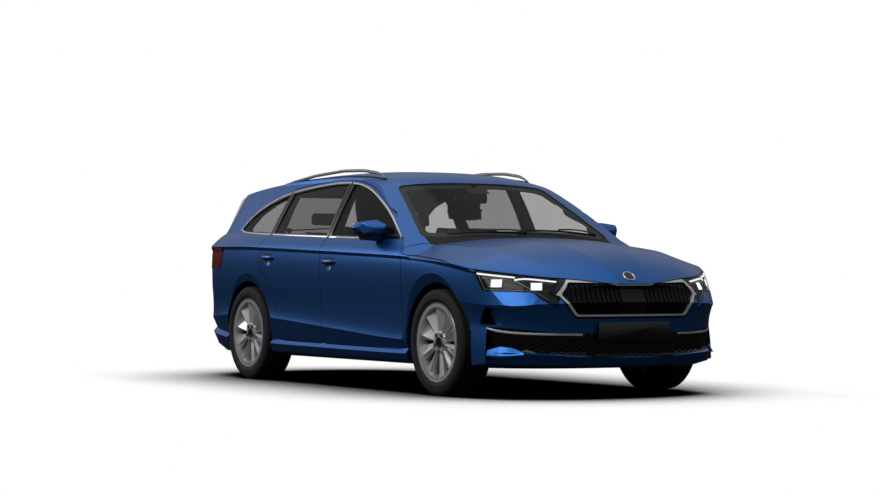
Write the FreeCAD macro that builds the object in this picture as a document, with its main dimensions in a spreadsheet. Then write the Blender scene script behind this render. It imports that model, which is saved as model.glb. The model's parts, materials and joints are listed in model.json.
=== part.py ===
"""A five-door station wagon, built as an assembly of body panels, glass, lamps, running gear and cabin pieces.

Frame: +X forward, +Y to the car's left, +Z up. The origin lies on the ground, under the middle of the car's length.
"""
import FreeCAD, Part
from FreeCAD import Placement, Rotation, Vector
import math
import os

doc = FreeCAD.newDocument("station_wagon")
sheet = doc.addObject("Spreadsheet::Sheet", "sizes")

# ---------------------------------------------------------------- driving dimensions, in millimetres and degrees
SIZES = [
    # alias, value, what it is
    ("nose_x", 2342, "front of the bumper, from the origin"),
    ("tail_x", 2345, "back of the bumper, behind the origin"),
    ("front_axle_x", 1464, "front axle, ahead of the origin"),
    ("rear_axle_x", 1222, "rear axle, behind the origin"),
    ("half_track", 772, "centre of the car to the middle of a tyre"),
    ("tyre_radius", 330, "outside of the tread"),
    ("tyre_width", 225, "section width"),
    ("rim_radius", 229, "bead seat"),
    ("arch_radius", 371, "wheel opening in the body side"),
    ("arch_lip", 76, "width of the slanted lip round a wheel opening"),
    ("panel_gap", 5, "between neighbouring panels"),
    ("skin_wall", 28, "outer layer of a door, which overlaps its opening"),
    ("door_wall", 112, "whole thickness of a door below the window"),
    ("frame_wall", 60, "whole thickness of a pillar beside the glass"),
    ("roof_wall", 46, "roof panel with its bows and headlining"),
    ("glass_wall", 5, "thickness of each pane"),
    ("floor_z", 330, "top of the cabin floor"),
    ("grille_depth", 22, "back of the grille behind the nose"),
    ("intake_depth", 14, "lower intake behind the bumper's skin"),
    ("engine_length", 420, "engine and gearbox, along the car"),
    ("engine_width", 760, "engine and gearbox, across the car"),
    ("engine_height", 520, "engine and gearbox, from the subframe up"),
]
for row, (alias, value, note) in enumerate(SIZES, 1):
    sheet.set(f"A{row}", alias)
    sheet.set(f"B{row}", str(value))
    sheet.set(f"C{row}", note)
    sheet.setAlias(f"B{row}", alias)
doc.recompute()


def size(alias):
    return float(sheet.get(alias))


# ---------------------------------------------------------------- the body's outer form
# Stations round half of the car in plan, from the middle of the nose to the middle of the tail.
# x, share of the row's width, nose shift share, nose pinch share, tail shift share, tail pinch share, height column
NOSE_X, TAIL_X = size("nose_x"), -size("tail_x")
FRONT_AXLE, REAR_AXLE = size("front_axle_x"), -size("rear_axle_x")
STATIONS = [
    (NOSE_X, 0.00, 1.00, 0.0, 0.0, 0.0, 0.0),
    (NOSE_X, 0.22, 1.00, 0.2, 0.0, 0.0, 0.0),
    (NOSE_X - 24, 0.46, 1.00, 0.6, 0.0, 0.0, 0.3),
    (NOSE_X - 100, 0.68, 0.95, 1.0, 0.0, 0.0, 0.6),
    (NOSE_X - 222, 0.855, 0.80, 1.0, 0.0, 0.0, 0.85),
    (NOSE_X - 382, 0.945, 0.45, 0.7, 0.0, 0.0, 1.0),
    (NOSE_X - 582, 0.98, 0.15, 0.3, 0.0, 0.0, 1.4),
    (FRONT_AXLE, 1.00, 0.0, 0.0, 0.0, 0.0, 2.0),
    (1050, 1.00, 0.0, 0.0, 0.0, 0.0, 3.0),
    (500, 1.00, 0.0, 0.0, 0.0, 0.0, 3.5),
    (-60, 1.00, 0.0, 0.0, 0.0, 0.0, 4.0),
    (-640, 1.00, 0.0, 0.0, 0.0, 0.1, 4.5),
    (REAR_AXLE, 1.00, 0.0, 0.0, 0.0, 0.35, 5.0),
    (TAIL_X + 745, 0.985, 0.0, 0.0, 0.1, 0.7, 5.35),
    (TAIL_X + 495, 0.95, 0.0, 0.0, 0.4, 0.9, 5.7),
    (TAIL_X + 305, 0.885, 0.0, 0.0, 0.7, 1.0, 6.0),
    (TAIL_X + 145, 0.76, 0.0, 0.0, 0.9, 1.0, 6.4),
    (TAIL_X + 35, 0.56, 0.0, 0.0, 1.0, 0.6, 6.8),
    (TAIL_X, 0.28, 0.0, 0.0, 1.0, 0.2, 7.0),
    (TAIL_X, 0.00, 0.0, 0.0, 1.0, 0.0, 7.0),
]
# Rows of the body side, from the floor up. Each row is one control line that runs round the car.
# name, half width, nose shift, nose pinch, tail shift, tail pinch, heights at: nose, front corner, front axle,
# front of the door, middle, rear axle, rear corner, tail
ROWS = [
    ("floor", 820, -110, 20, 120, 20, (185, 185, 185, 185, 185, 185, 185, 185)),
    ("sill edge", 866, -30, 0, 60, 10, (200, 215, 211, 211, 211, 211, 240, 262)),
    ("ledge", 884, -6, -10, 10, 0, (252, 284, 262, 248, 258, 268, 330, 335)),
    ("ledge top", 862, -20, 10, 20, 6, (270, 302, 290, 278, 286, 296, 360, 365)),
    ("lower crease", 890, -17, 20, 4, 0, (388, 436, 360, 331, 402, 470, 430, 420)),
    ("above crease", 877, -10, 12, 0, 0, (470, 500, 430, 405, 470, 530, 500, 490)),
    ("middle", 893, 4, -4, 0, 0, (585, 564, 620, 620, 640, 655, 640, 620)),
    ("upper", 905, -24, 12, 4, 0, (620, 648, 740, 790, 800, 815, 800, 780)),
    ("undercut", 896, -30, 8, 10, 4, (660, 742, 820, 848, 887, 925, 928, 925)),
    ("tornado", 907, -18, 0, 0, 0, (692, 764, 843, 869, 909, 948, 953, 950)),
    ("shoulder", 884, -18, 0, 20, 20, (760, 830, 900, 930, 960, 1000, 1005, 1000)),
    ("belt", 832, 0, 0, 60, 45, (980, 980, 975, 976, 1000, 1036, 1056, 1060)),
    ("window", 748, 0, 0, 60, 60, (1200,) * 8),
    ("rail", 636, 0, 0, 60, 70, (1385,) * 8),
    ("top", 560, 0, 0, 60, 70, (1600,) * 8),
]
BELT_ROW = 11
# Rows that meet in a crease; the rows between two creases only steer the face.
FACES = [(0, 1), (1, 2), (2, 3), (3, 4), (4, 5, 6), (6, 7, 8), (8, 9), (9, 10, 11), (11, 12, 13), (13, 14)]


def knots(count, degree):
    inner = count - degree - 1
    return list(range(inner + 2)), [degree + 1] + [1] * inner + [degree + 1]


def surface(grid, degree_u, degree_v):
    """A face steered by a grid of control points: grid[row][column]."""
    ku, mu = knots(len(grid), degree_u)
    kv, mv = knots(len(grid[0]), degree_v)
    made = Part.BSplineSurface()
    made.buildFromPolesMultsKnots(grid, mu, mv, ku, kv, False, False, degree_u, degree_v)
    return made.toShape()


def height(heights, column):
    low = min(int(column), len(heights) - 2)
    return heights[low] + (heights[low + 1] - heights[low]) * (column - low)


def row_points(row, inset, inset_glass, inset_end):
    name, width, nose, nose_pinch, tail, tail_pinch, heights = ROWS[row]
    inward = inset_glass if row > BELT_ROW else inset
    if row == BELT_ROW:
        inward = (inset + inset_glass) / 2
    points = []
    for x, share, nose_s, nose_p, tail_s, tail_p, column in STATIONS:
        end = inset_end * (1 if x > 0 else -1) * max(nose_s, tail_s)
        y = share * (width - inward) - nose_pinch * nose_p - tail_pinch * tail_p
        points.append(Vector(x + nose * nose_s + tail * tail_s - end, -max(y, 0), height(heights, column)))
    return points


def tube(inset=0, inset_glass=0, inset_end=0):
    """The right half of the body's plan form as a solid, its walls moved inwards by the insets."""
    rows = [row_points(r, inset, inset_glass, inset_end) for r in range(len(ROWS))]
    faces = [surface([rows[r] for r in group], len(group) - 1, 3) for group in FACES]
    front = [Part.makeLine(rows[a[0]][0], rows[a[-1]][0]) if len(a) == 2 else None for a in FACES]
    edges_front, edges_back, bottom, top = [], [], None, None
    for face in faces:
        for edge in face.Edges:
            middle = edge.valueAt((edge.FirstParameter + edge.LastParameter) / 2)
            if abs(middle.y) < 1e-6:
                (edges_front if middle.x > 0 else edges_back).append(edge)
            elif abs(middle.z - ROWS[0][6][0]) < 1e-6 and abs(edge.BoundBox.ZLength) < 1e-6:
                bottom = edge
            elif abs(middle.z - ROWS[-1][6][0]) < 1e-6 and abs(edge.BoundBox.ZLength) < 1e-6:
                top = edge

    def closing(edge):
        return Part.makeLine(edge.valueAt(edge.LastParameter), edge.valueAt(edge.FirstParameter))

    bottom_line, top_line = closing(bottom), closing(top)
    caps = [Part.Face(Part.Wire([bottom, bottom_line])), Part.Face(Part.Wire([top, top_line]))]
    middle = Part.Face(Part.Wire(Part.__sortEdges__(edges_front + edges_back + [bottom_line, top_line])))
    shell = Part.makeShell(faces + caps + [middle])
    shell.sewShape()
    solid = Part.makeSolid(shell if shell.ShapeType == "Shell" else shell.Shells[0])
    if solid.Volume < 0:
        solid.reverse()
    return solid


# Control lines of the bonnet from front to back. A crease runs along each side of its raised middle and another
# along each flank, so that the surface is made of five strips that share their creases.
# x at the middle, y of inner crease and outer crease, how far the line sweeps at inner crease, between, outer crease,
# flank and edge, heights at the middle, inner crease, between, outer crease, flank and edge
BONNET_EDGE = 1000
BONNET = [
    (2480, 100, 410, (0, -28, -80, -159, -640), (480, 480, 476, 471, 445, 410)),
    (2345, 100, 420, (0, -28, -80, -159, -640), (676, 678, 684, 694, 723, 765)),
    (2290, 105, 437, (0, -28, -82, -159, -640), (726, 729, 733, 744, 761, 785)),
    (2180, 125, 490, (0, -30, -88, -196, -480), (814, 820, 813, 812, 784, 790)),
    (2020, 178, 575, (0, -40, -97, -180, -300), (881, 889, 872, 861, 822, 788)),
    (1780, 218, 622, (0, -15, -48, -95, -150), (938, 942, 921, 898, 842, 787)),
    (1500, 250, 645, (0, 0, 0, 0, 0), (976, 966, 945, 919, 857, 797)),
    (1250, 265, 675, (0, 0, 0, 0, 0), (988, 978, 964, 937, 871, 806)),
    (1000, 280, 702, (0, 0, 0, 0, 0), (996, 983, 968, 935, 876, 818)),
    (600, 300, 740, (0, 0, 0, 0, 0), (996, 985, 970, 938, 882, 826)),
]
# The windscreen and roof: x, how far each line sweeps and its height at each column, from the middle outwards.
ROOF_COLUMNS = (150, 350, 550, 720, 950)
ROOF = [
    (1800, (0,) * 5, (636, 626, 600, 560, 500)),
    (1130, (0,) * 5, (987, 976, 950, 908, 860)),
    (760, (0,) * 5, (1181, 1171, 1147, 1134, 1105)),
    (440, (0,) * 5, (1362, 1354, 1332, 1300, 1245)),
    (300, (0,) * 5, (1420, 1412, 1390, 1352, 1285)),
    (0, (0,) * 5, (1458, 1450, 1424, 1378, 1300)),
    (-500, (0,) * 5, (1468, 1460, 1434, 1388, 1310)),
    (-1100, (0,) * 5, (1456, 1448, 1420, 1374, 1300)),
    (-1600, (0,) * 5, (1424, 1414, 1384, 1336, 1260)),
    (-2000, (0,) * 5, (1380, 1370, 1340, 1292, 1220)),
    (-2500, (0,) * 5, (1310, 1300, 1270, 1222, 1150)),
]
# The tailgate from the top down: x at the middle, how far it sweeps forward at the outer columns, height.
TAIL_COLUMNS = (150, 400, 620, 780, 950)
TAIL = [
    (-1960, (0, 18, 60, 120, 200), 1600),
    (-2090, (0, 18, 60, 120, 200), 1400),
    (-2150, (0, 18, 60, 120, 200), 1300),
    (-2300, (0, 18, 62, 120, 200), 1040),
    (-2352, (0, 18, 60, 110, 180), 940),
    (-2362, (0, 14, 50, 90, 150), 800),
    (-2400, (0, 10, 30, 60, 100), 500),
    (-2420, (0, 10, 30, 60, 100), 100),
]


def both_sides(columns, values):
    return [(-c, v) for c, v in reversed(list(zip(columns, values)))] + list(zip(columns, values))


def block(rows, columns, reach, lowered=0):
    """Everything under a surface given by lines across the car, each with a height for every column."""
    grid = []
    for x, sweeps, heights in rows:
        points = both_sides(columns, list(zip(sweeps, heights)))
        grid.append([Vector(x + sweep, y, z - lowered) for y, (sweep, z) in points])
    return surface(grid, 3, 3).extrude(Vector(0, 0, -reach))


def bonnet_block(lowered):
    """Everything under the bonnet's five strips."""
    centre, between, flank = [], [], []
    for x, inner, outer, sweeps, heights in BONNET:
        ys = (inner, (inner + outer) / 2, outer, (outer + BONNET_EDGE) / 2, BONNET_EDGE)
        points = [Vector(x + sweep, -y, z - lowered) for y, sweep, z in zip(ys, sweeps, heights[1:])]
        middle = Vector(x, 0, heights[0] - lowered)
        centre.append([points[0], middle, Vector(points[0].x, -points[0].y, points[0].z)])
        between.append(points[0:3])
        flank.append(points[2:5])
    down = Vector(0, 0, -1500)
    right = [surface(grid, 3, 2).extrude(down) for grid in (between, flank)]
    left = [strip.mirror(Vector(0, 0, 0), Vector(0, 1, 0)) for strip in right]
    return surface(centre, 3, 2).extrude(down).fuse(right + left)


def tail_block(forward=0):
    grid = []
    for x, sweeps, z in TAIL:
        grid.append([Vector(x + forward + sweep, y, z) for y, sweep in both_sides(TAIL_COLUMNS, sweeps)])
    return surface(grid, 3, 3).extrude(Vector(6000, 0, 0))


def form(side=0, glass=0, end=0, cap=0, tail=0):
    """The whole body, with its sides, window faces, ends, top and tailgate moved inwards."""
    right = tube(side, glass, end)
    whole = right.fuse(right.mirror(Vector(0, 0, 0), Vector(0, 1, 0)))
    bonnet = bonnet_block(cap)
    roof = block(ROOF, ROOF_COLUMNS, 2500, cap)
    return whole.common(bonnet.fuse(roof)).common(tail_block(tail))


# ---------------------------------------------------------------- helpers for outlines and prisms
def ring(corners):
    """A closed wire in the XZ plane from (x, z, corner radius)."""
    edges, last = [], None
    count = len(corners)
    ends = []
    for i in range(count):
        x, z, radius = corners[i]
        here = Vector(x, 0, z)
        before = Vector(corners[i - 1][0], 0, corners[i - 1][1])
        after = Vector(corners[(i + 1) % count][0], 0, corners[(i + 1) % count][1])
        if radius == 0:
            ends.append((here, here, None))
            continue
        to_before, to_after = (before - here).normalize(), (after - here).normalize()
        half = to_before.getAngle(to_after) / 2
        cut = radius / math.tan(half)
        bisector = (to_before + to_after).normalize()
        middle = here + bisector * (radius / math.sin(half) - radius)
        ends.append((here + to_before * cut, here + to_after * cut, middle))
    for i in range(count):
        start, finish, middle = ends[i]
        if middle is not None:
            edges.append(Part.Arc(start, middle, finish).toShape())
        following = ends[(i + 1) % count][0]
        forward = Vector(corners[(i + 1) % count][0] - corners[i][0], 0, corners[(i + 1) % count][1] - corners[i][1])
        if (following - finish).dot(forward) < -1e-6:
            raise ValueError(f"the corner radii meet after corner {corners[i]}")
        if (following - finish).Length > 1e-6:
            edges.append(Part.makeLine(finish, following))
    return Part.Wire(Part.__sortEdges__(edges))


def slab(corners, start, end, grow=0, along="y", turn=0):
    """A prism on an outline, given as (x, z) along Y, (y, z) along X or (x, y) along Z, with corner radii."""
    face = Part.Face(ring(corners))
    if grow:
        face = face.makeOffset2D(grow)
        if face.ShapeType != "Face":
            face = face.Faces[0]
    # The outline lies in the XZ plane and is pushed along +Y, then turned to its own axis.
    solid = face.extrude(Vector(0, end - start, 0))
    solid.translate(Vector(0, start, 0))
    if along == "x":  # x -> y, y -> x
        solid = solid.mirror(Vector(0, 0, 0), Vector(1, -1, 0))
    elif along == "z":  # z -> y, y -> z
        solid = solid.mirror(Vector(0, 0, 0), Vector(0, 1, -1))
    if turn:
        solid.rotate(Vector(0, 0, 0), Vector(0, 0, 1), turn)
    if solid.Volume < 0:
        solid.reverse()
    return solid


def box(x0, x1, y0, y1, z0, z1):
    return Part.makeBox(x1 - x0, y1 - y0, z1 - z0, Vector(x0, y0, z0))


def drum(x, z, radius, y0, y1):
    return Part.makeCylinder(radius, y1 - y0, Vector(x, y0, z), Vector(0, 1, 0))


def mirrored(shape):
    return shape.mirror(Vector(0, 0, 0), Vector(0, 1, 0))


def placed(shape, x, y, z):
    moved = shape.copy()
    moved.translate(Vector(x, y, z))
    return moved


def main_solid(shape):
    """The largest solid of a boolean's result."""
    return max(shape.Solids, key=lambda solid: solid.Volume)


def pair_of(shape):
    """A right-hand solid and its mirror image, as one compound of two solids."""
    right = main_solid(shape)
    return Part.Compound([right, mirrored(right)])


# ---------------------------------------------------------------- layers of the body
GAP = size("panel_gap")
SKIN, DOOR_WALL, FRAME_WALL = size("skin_wall"), size("door_wall"), size("frame_wall")
ROOF_WALL, GLASS = size("roof_wall"), size("glass_wall")
GATE_WALL = 80
FAR = 3000
OUTER = form()
UNDER_SKIN = form(SKIN, SKIN, SKIN, SKIN, SKIN)
POCKET = form(SKIN + GAP, SKIN + GAP, SKIN + GAP, SKIN + GAP, SKIN + GAP)
CAVITY = form(DOOR_WALL, FRAME_WALL, 60, ROOF_WALL, GATE_WALL)
RIGHT_HALF = box(-FAR, FAR, -FAR, 0, -FAR, FAR)
skin_layer = OUTER.cut(UNDER_SKIN)
pocket_layer = OUTER.cut(POCKET)
wall_layer = OUTER.cut(CAVITY)
skin_right = skin_layer.common(RIGHT_HALF)
pocket_right = pocket_layer.common(RIGHT_HALF)
wall_right = wall_layer.common(RIGHT_HALF)

# ---------------------------------------------------------------- outlines of the panels
DOOR_FRONT = 1050
DOOR_SPLIT = -60
PILLAR_GAP = 12          # between the window frames, where the front door's frame swings past the rear door's
ARCH = size("arch_radius")
WHEEL_Z = size("tyre_radius")
HALF_TRACK = size("half_track")

front_door_outline = [
    (DOOR_FRONT, 278, 40), (DOOR_FRONT, 880, 30), (1000, 958, 60), (944, 986, 100), (700, 1156, 700),
    (330, 1317, 400), (90, 1372, 300), (DOOR_SPLIT + PILLAR_GAP / 2, 1386, 12),
    (DOOR_SPLIT + PILLAR_GAP / 2, 1000, 0), (DOOR_SPLIT + GAP / 2, 940, 0), (DOOR_SPLIT + GAP / 2, 286, 40),
]
rear_door_outline = [
    (DOOR_SPLIT - GAP / 2, 286, 40), (DOOR_SPLIT - GAP / 2, 940, 0), (DOOR_SPLIT - PILLAR_GAP / 2, 1000, 0),
    (DOOR_SPLIT - PILLAR_GAP / 2, 1388, 12), (-300, 1390, 300), (-600, 1376, 600), (-938, 1348, 20),
    (-950, 1010, 60), (-985, 975, 30), (-985, 800, 60), (-830, 690, 260), (-712, 450, 120), (-690, 292, 40),
]
# The glass in each door, and in the fixed quarter window behind it.
front_window = [
    (905, 997, 30), (700, 1134, 700), (330, 1290, 400), (85, 1346, 300), (DOOR_SPLIT + 40, 1358, 8),
    (DOOR_SPLIT + 34, 1010, 8), (367, 997, 0),
]
rear_window = [
    (DOOR_SPLIT - 34, 1012, 8), (DOOR_SPLIT - 40, 1361, 8), (-300, 1362, 300), (-600, 1347, 600), (-905, 1318, 12),
    (-915, 1038, 12),
]
quarter_window = [
    (-975, 1040, 8), (-968, 1310, 8), (-1240, 1249, 200), (-1430, 1172, 120), (-1530, 1086, 14), (-1505, 1060, 14),
]
fender_outline = [
    (DOOR_FRONT + GAP, 225, 0), (DOOR_FRONT + GAP, 874, 0), (1300, 855, 0), (1519, 835, 0), (1868, 777, 0),
    (1974, 650, 0), (1960, 600, 0), (1900, 540, 0), (1800, 225, 0),
]
bonnet_side = [
    (DOOR_FRONT + GAP + 6, 874 + GAP, 20), (DOOR_FRONT + 60, 1100, 0), (2700, 1100, 0), (2700, 640, 0),
    (2330, 690, 0), (2240, 724, 300), (2050, 756, 300), (1866, 782, 200), (1519, 835 + GAP, 500),
]
bonnet_plan = [
    (DOOR_FRONT + GAP + 6, -1000, 0), (DOOR_FRONT + GAP + 6, -760, 60), (1150, -600, 300), (1190, -200, 400),
    (1190, 200, 400), (1150, 600, 300), (DOOR_FRONT + GAP + 6, 760, 60), (DOOR_FRONT + GAP + 6, 1000, 0),
    (2700, 1000, 0), (2700, -1000, 0),
]
headlamp_outline = [   # along a line at 45 degrees to the car: (x + y) / sqrt 2 of the right side, and z
    (712, 779, 8), (1000, 746, 0), (1252, 724, 0), (1275, 700, 0), (1258, 600, 0), (1250, 548, 0), (1150, 600, 60),
    (1096, 642, 60), (850, 646, 60), (780, 654, 20),
]
# The grille seen from the front, (y, z): the black band round it, the bright frame's outside and its opening.
band_outline = [
    (-470, 728, 0), (470, 728, 0), (545, 640, 4), (506, 618, 10), (404, 484, 40), (-404, 484, 40), (-506, 618, 10),
    (-545, 640, 4),
]
frame_outline = [
    (-468, 722, 4), (-180, 708, 40), (-115, 692, 30), (115, 692, 30), (180, 708, 40), (468, 722, 4), (534, 632, 4),
    (497, 622, 10), (400, 498, 40), (-400, 498, 40), (-497, 622, 10), (-534, 632, 4),
]
opening_outline = [
    (-424, 703, 20), (-184, 698, 40), (-118, 681, 30), (118, 681, 30), (184, 698, 40), (424, 703, 20), (486, 630, 12),
    (390, 509, 34), (-390, 509, 34), (-486, 630, 12),
]
# The lower intake and the slot above each of its ends, seen from the front.
intake_outline = [
    (-829, 296, 0), (-790, 314, 20), (-640, 282, 200), (-250, 254, 600), (250, 254, 600), (640, 282, 200),
    (790, 314, 20), (829, 296, 0), (829, 436, 0), (780, 432, 20), (500, 398, 500), (-500, 398, 500), (-780, 432, 20),
    (-829, 436, 0),
]
slot_outline = [(-829, 450, 0), (-829, 553, 0), (-798, 549, 6), (-768, 446, 6)]
gate_outline = [
    (-560, 1600, 0), (-600, 1350, 120), (-664, 1040, 60), (-650, 960, 0), (-560, 780, 60), (-540, 630, 60),
    (540, 630, 60), (560, 780, 60), (650, 960, 0), (664, 1040, 60), (600, 1350, 120), (560, 1600, 0),
]
rear_bumper_side = [
    (-2700, 150, 0), (-1500, 150, 0), (-1500, 560, 0), (-1640, 640, 200), (-1950, 700, 300), (-2100, 700, 100),
    (-2180, 622, 60), (-2700, 622, 0),
]
front_bumper_side = [
    (2700, 120, 0), (1700, 120, 0), (1760, 225, 0), (1900, 540, 0), (1960, 600, 0), (1974, 650, 0), (2150, 642, 0),
    (2230, 690, 0), (2700, 690, 0),
]


def wheel_well(axle_x, inner_y, radius):
    return drum(axle_x, WHEEL_Z, radius, -FAR, -inner_y).fuse(box(axle_x - radius, axle_x + radius, -FAR, -inner_y,
                                                                 -FAR, WHEEL_Z))


ARCH_LIP = size("arch_lip")
LIP_SLOPE = 3.0          # how far a lip spreads for each millimetre of depth
LIP_Y = 903              # where the lip's outer edge lies above the axle


def arch_lip(axle_x):
    """What is cut away round a wheel opening, so that its lip slants inwards."""
    inner_y, outer_y = LIP_Y - 33, LIP_Y + 57
    radii = [ARCH + ARCH_LIP + (y - LIP_Y) * LIP_SLOPE for y in (inner_y, outer_y)]
    return Part.makeCone(radii[0], radii[1], outer_y - inner_y, Vector(axle_x, -inner_y, WHEEL_Z), Vector(0, -1, 0))


def side(corners, grow=0):
    """The right half of everything within an outline seen from the side."""
    return slab(corners, -FAR, -250, grow)


REBATE = 28              # how far the outer layer of a door laps over its opening
RUNNING = 12             # between a door's inner part and the opening it swings out of


def door(outline, window):
    leaf = skin_right.common(side(outline))
    inner = wall_right.common(side(outline, -REBATE))
    return main_solid(leaf.fuse(inner).cut(side(window)))


HINGE_BEHIND = 45        # hinge axis behind a door's front edge
HINGE_POCKET = 62        # depth left free for a door's front edge, which swings inwards
front_edge = {"front": DOOR_FRONT, "rear": DOOR_SPLIT - GAP / 2}
hinge_layer = OUTER.cut(tube(HINGE_POCKET, 42, 0)).common(RIGHT_HALF)

CUP_RADIUS = 80          # the ball that a handle's cup is cut with
HANDLES = {"front": (72, 822), "rear": (-857, 855)}


def handle_cup(name):
    x, z = HANDLES[name]
    cup = Part.makeSphere(CUP_RADIUS, Vector(x, -962, z))
    return cup.cut(box(x - 200, x + 200, -FAR, 0, z + 24, FAR))


door_front = main_solid(door(front_door_outline, front_window).cut(handle_cup("front")))
door_rear = main_solid(door(rear_door_outline, rear_window).cut(handle_cup("rear")))

# ---------------------------------------------------------------- glass
GLASS_INSET = 9
side_pane = tube(0, GLASS_INSET, 0).cut(tube(0, GLASS_INSET + GLASS, 0))
glass_front = main_solid(side_pane.common(side(front_window)))
glass_rear = main_solid(side_pane.common(side(rear_window)))
glass_quarter = main_solid(side_pane.common(side(quarter_window)))

# The windscreen's outline lies on a plane leaning back from its lower edge.
SCREEN_BASE = Vector(1130, 0, 987)
SCREEN_TOP = Vector(440, 0, 1362)
screen_up = (SCREEN_TOP - SCREEN_BASE).normalize()
screen_normal = Vector(screen_up.z, 0, -screen_up.x)
windscreen_outline = [
    (-716, 118, 30), (-430, 24, 900), (430, 24, 900), (716, 118, 30), (566, 796, 60), (-566, 796, 60),
]


def screen_prism(grow=0):
    shape = slab(windscreen_outline, -150, 250, grow)
    turned = FreeCAD.Matrix(
        0, -screen_normal.x, screen_up.x, SCREEN_BASE.x,
        1, 0, 0, 0,
        0, -screen_normal.z, screen_up.z, SCREEN_BASE.z,
        0, 0, 0, 1)
    shape.Placement = Placement(turned).multiply(shape.Placement)
    return shape


def screen_layer(depth, thickness):
    return block(ROOF, ROOF_COLUMNS, 2500, depth).cut(block(ROOF, ROOF_COLUMNS, 2500, depth + thickness))


windscreen = main_solid(screen_layer(4, GLASS).common(screen_prism()))

# ---------------------------------------------------------------- bonnet, roof and tailgate
bonnet_zone = slab(bonnet_side, -FAR, FAR).common(slab(bonnet_plan, 0, FAR, along="z"))
bonnet_keepout = slab(bonnet_side, -FAR, FAR, GAP).common(slab(bonnet_plan, 0, FAR, GAP + 1, along="z"))
bonnet = main_solid(skin_layer.common(bonnet_zone))

ROOF_REAR = -1958
roof_plan = [(700, -548, 0), (700, 548, 0), (ROOF_REAR, 562, 0), (ROOF_REAR, -562, 0)]
roof_zone = slab(roof_plan, 1150, FAR, along="z")

GATE_FRONT = ROOF_REAR - 8
gate_side = [
    (GATE_FRONT, 1700, 0), (GATE_FRONT, 1320, 0), (-1900, 1230, 0), (-1900, 560, 0), (-2700, 560, 0), (-2700, 1700, 0),
]
gate_zone = slab(gate_outline, -2700, -1500, along="x").common(slab(gate_side, -FAR, FAR))
gate_keepout = slab(gate_outline, -2700, -1500, GAP, along="x").common(slab(gate_side, -FAR, FAR, 8))
roof = main_solid(wall_layer.common(roof_zone).cut(screen_prism()).cut(gate_keepout))
back_window = [(-500, 1335, 50), (-572, 1062, 40), (572, 1062, 40), (500, 1335, 50)]
back_zone = slab(back_window, -2700, -1500, along="x")
tail_pane = tail_block(8).cut(tail_block(8 + GLASS))
glass_back = main_solid(tail_pane.common(back_zone))
tailgate = main_solid(wall_layer.common(gate_zone).cut(back_zone))

# ---------------------------------------------------------------- lamps, grille and bumpers
front_end = OUTER.common(box(1700, FAR, -FAR, FAR, 0, 900))


def nose(near, far):
    """A layer of the nose between two depths, measured straight back from its face."""
    return placed(front_end, -near, 0, 0).cut(placed(front_end, -far, 0, 0))


def front_zone(corners):
    return slab(corners, 1850, 2700, along="x")


headlamp_zone = slab(headlamp_outline, -FAR, -800, turn=45)
band_zone, frame_zone, opening_zone = (front_zone(c) for c in (band_outline, frame_outline, opening_outline))
headlamp = main_solid(skin_right.common(headlamp_zone).cut(bonnet_keepout).cut(band_zone))
tail_lamp_outline = [(-1960, 930, 20), (-2060, 952, 20), (-2500, 952, 0), (-2500, 770, 0), (-2130, 780, 60)]
tail_lamp_zone = slab(tail_lamp_outline, -FAR, 0)
tail_lamp = main_solid(skin_right.common(tail_lamp_zone).cut(gate_keepout))

# The grille: a bright frame, a black band round it, and upright ribs in pairs in front of its back.
GRILLE_DEPTH = size("grille_depth")
FRAME_PROUD = 4
RIB, RIB_PITCH, RIB_SPLIT, RIB_COUNT, CENTRE_PANEL = 7, 33, 12, 11, 88
grille_frame = nose(-FRAME_PROUD, GRILLE_DEPTH).common(frame_zone.cut(opening_zone)).cut(bonnet_keepout)
grille_frame = main_solid(grille_frame.cut(pair_of(headlamp)))
ribs = [box(1850, FAR, -CENTRE_PANEL, CENTRE_PANEL, 400, 800)]
for i in range(RIB_COUNT):
    start = CENTRE_PANEL + 14 + i * RIB_PITCH
    for y in (start, start + RIB_SPLIT, -start - RIB, -start - RIB_SPLIT - RIB):
        ribs.append(box(1850, FAR, y, y + RIB, 400, 800))
rib_layer = nose(8, GRILLE_DEPTH).common(opening_zone)
back_panel = nose(GRILLE_DEPTH, GRILLE_DEPTH + 8).common(band_zone)
band = skin_layer.common(band_zone.cut(frame_zone)).cut(bonnet_keepout)
grille = back_panel.fuse([rib_layer.common(Part.Compound(ribs)), band]).cut(bonnet_keepout).cut(grille_frame)
grille = main_solid(grille)

INTAKE_DEPTH = size("intake_depth")
intake_zone = front_zone(intake_outline)
right_slot = front_zone(slot_outline)
slots = right_slot.fuse(mirrored(right_slot))
front_bumper_zone = slab(front_bumper_side, -FAR, FAR)
intake_back = nose(INTAKE_DEPTH, INTAKE_DEPTH + 20).common(front_bumper_zone)
mesh_zone = front_zone([(-835, 290, 0), (835, 290, 0), (835, 560, 0), (-835, 560, 0)]).fuse(intake_zone)
well = {"front": wheel_well(FRONT_AXLE, 470, ARCH), "rear": wheel_well(REAR_AXLE, 612, ARCH)}
both_wells = {name: shape.fuse(mirrored(shape)) for name, shape in well.items()}
right_lips = {"front": arch_lip(FRONT_AXLE), "rear": arch_lip(REAR_AXLE)}
both_lips = {name: shape.fuse(mirrored(shape)) for name, shape in right_lips.items()}
lamps_front = headlamp_zone.fuse(mirrored(headlamp_zone))
front_bumper = skin_layer.common(front_bumper_zone).cut(band_zone).cut(lamps_front).cut(bonnet_keepout)
front_bumper = front_bumper.cut(both_wells["front"]).cut(both_lips["front"]).cut(intake_zone).cut(slots)
front_bumper = main_solid(front_bumper)
lower_grille = main_solid(intake_back.common(mesh_zone).cut(front_bumper).cut(lamps_front).cut(band_zone))
rear_bumper_zone = slab(rear_bumper_side, -FAR, FAR)
rear_bumper = main_solid(skin_layer.common(rear_bumper_zone).cut(gate_keepout).cut(both_wells["rear"])
                         .cut(both_lips["rear"]).cut(tail_lamp_zone.fuse(mirrored(tail_lamp_zone))))
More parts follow.
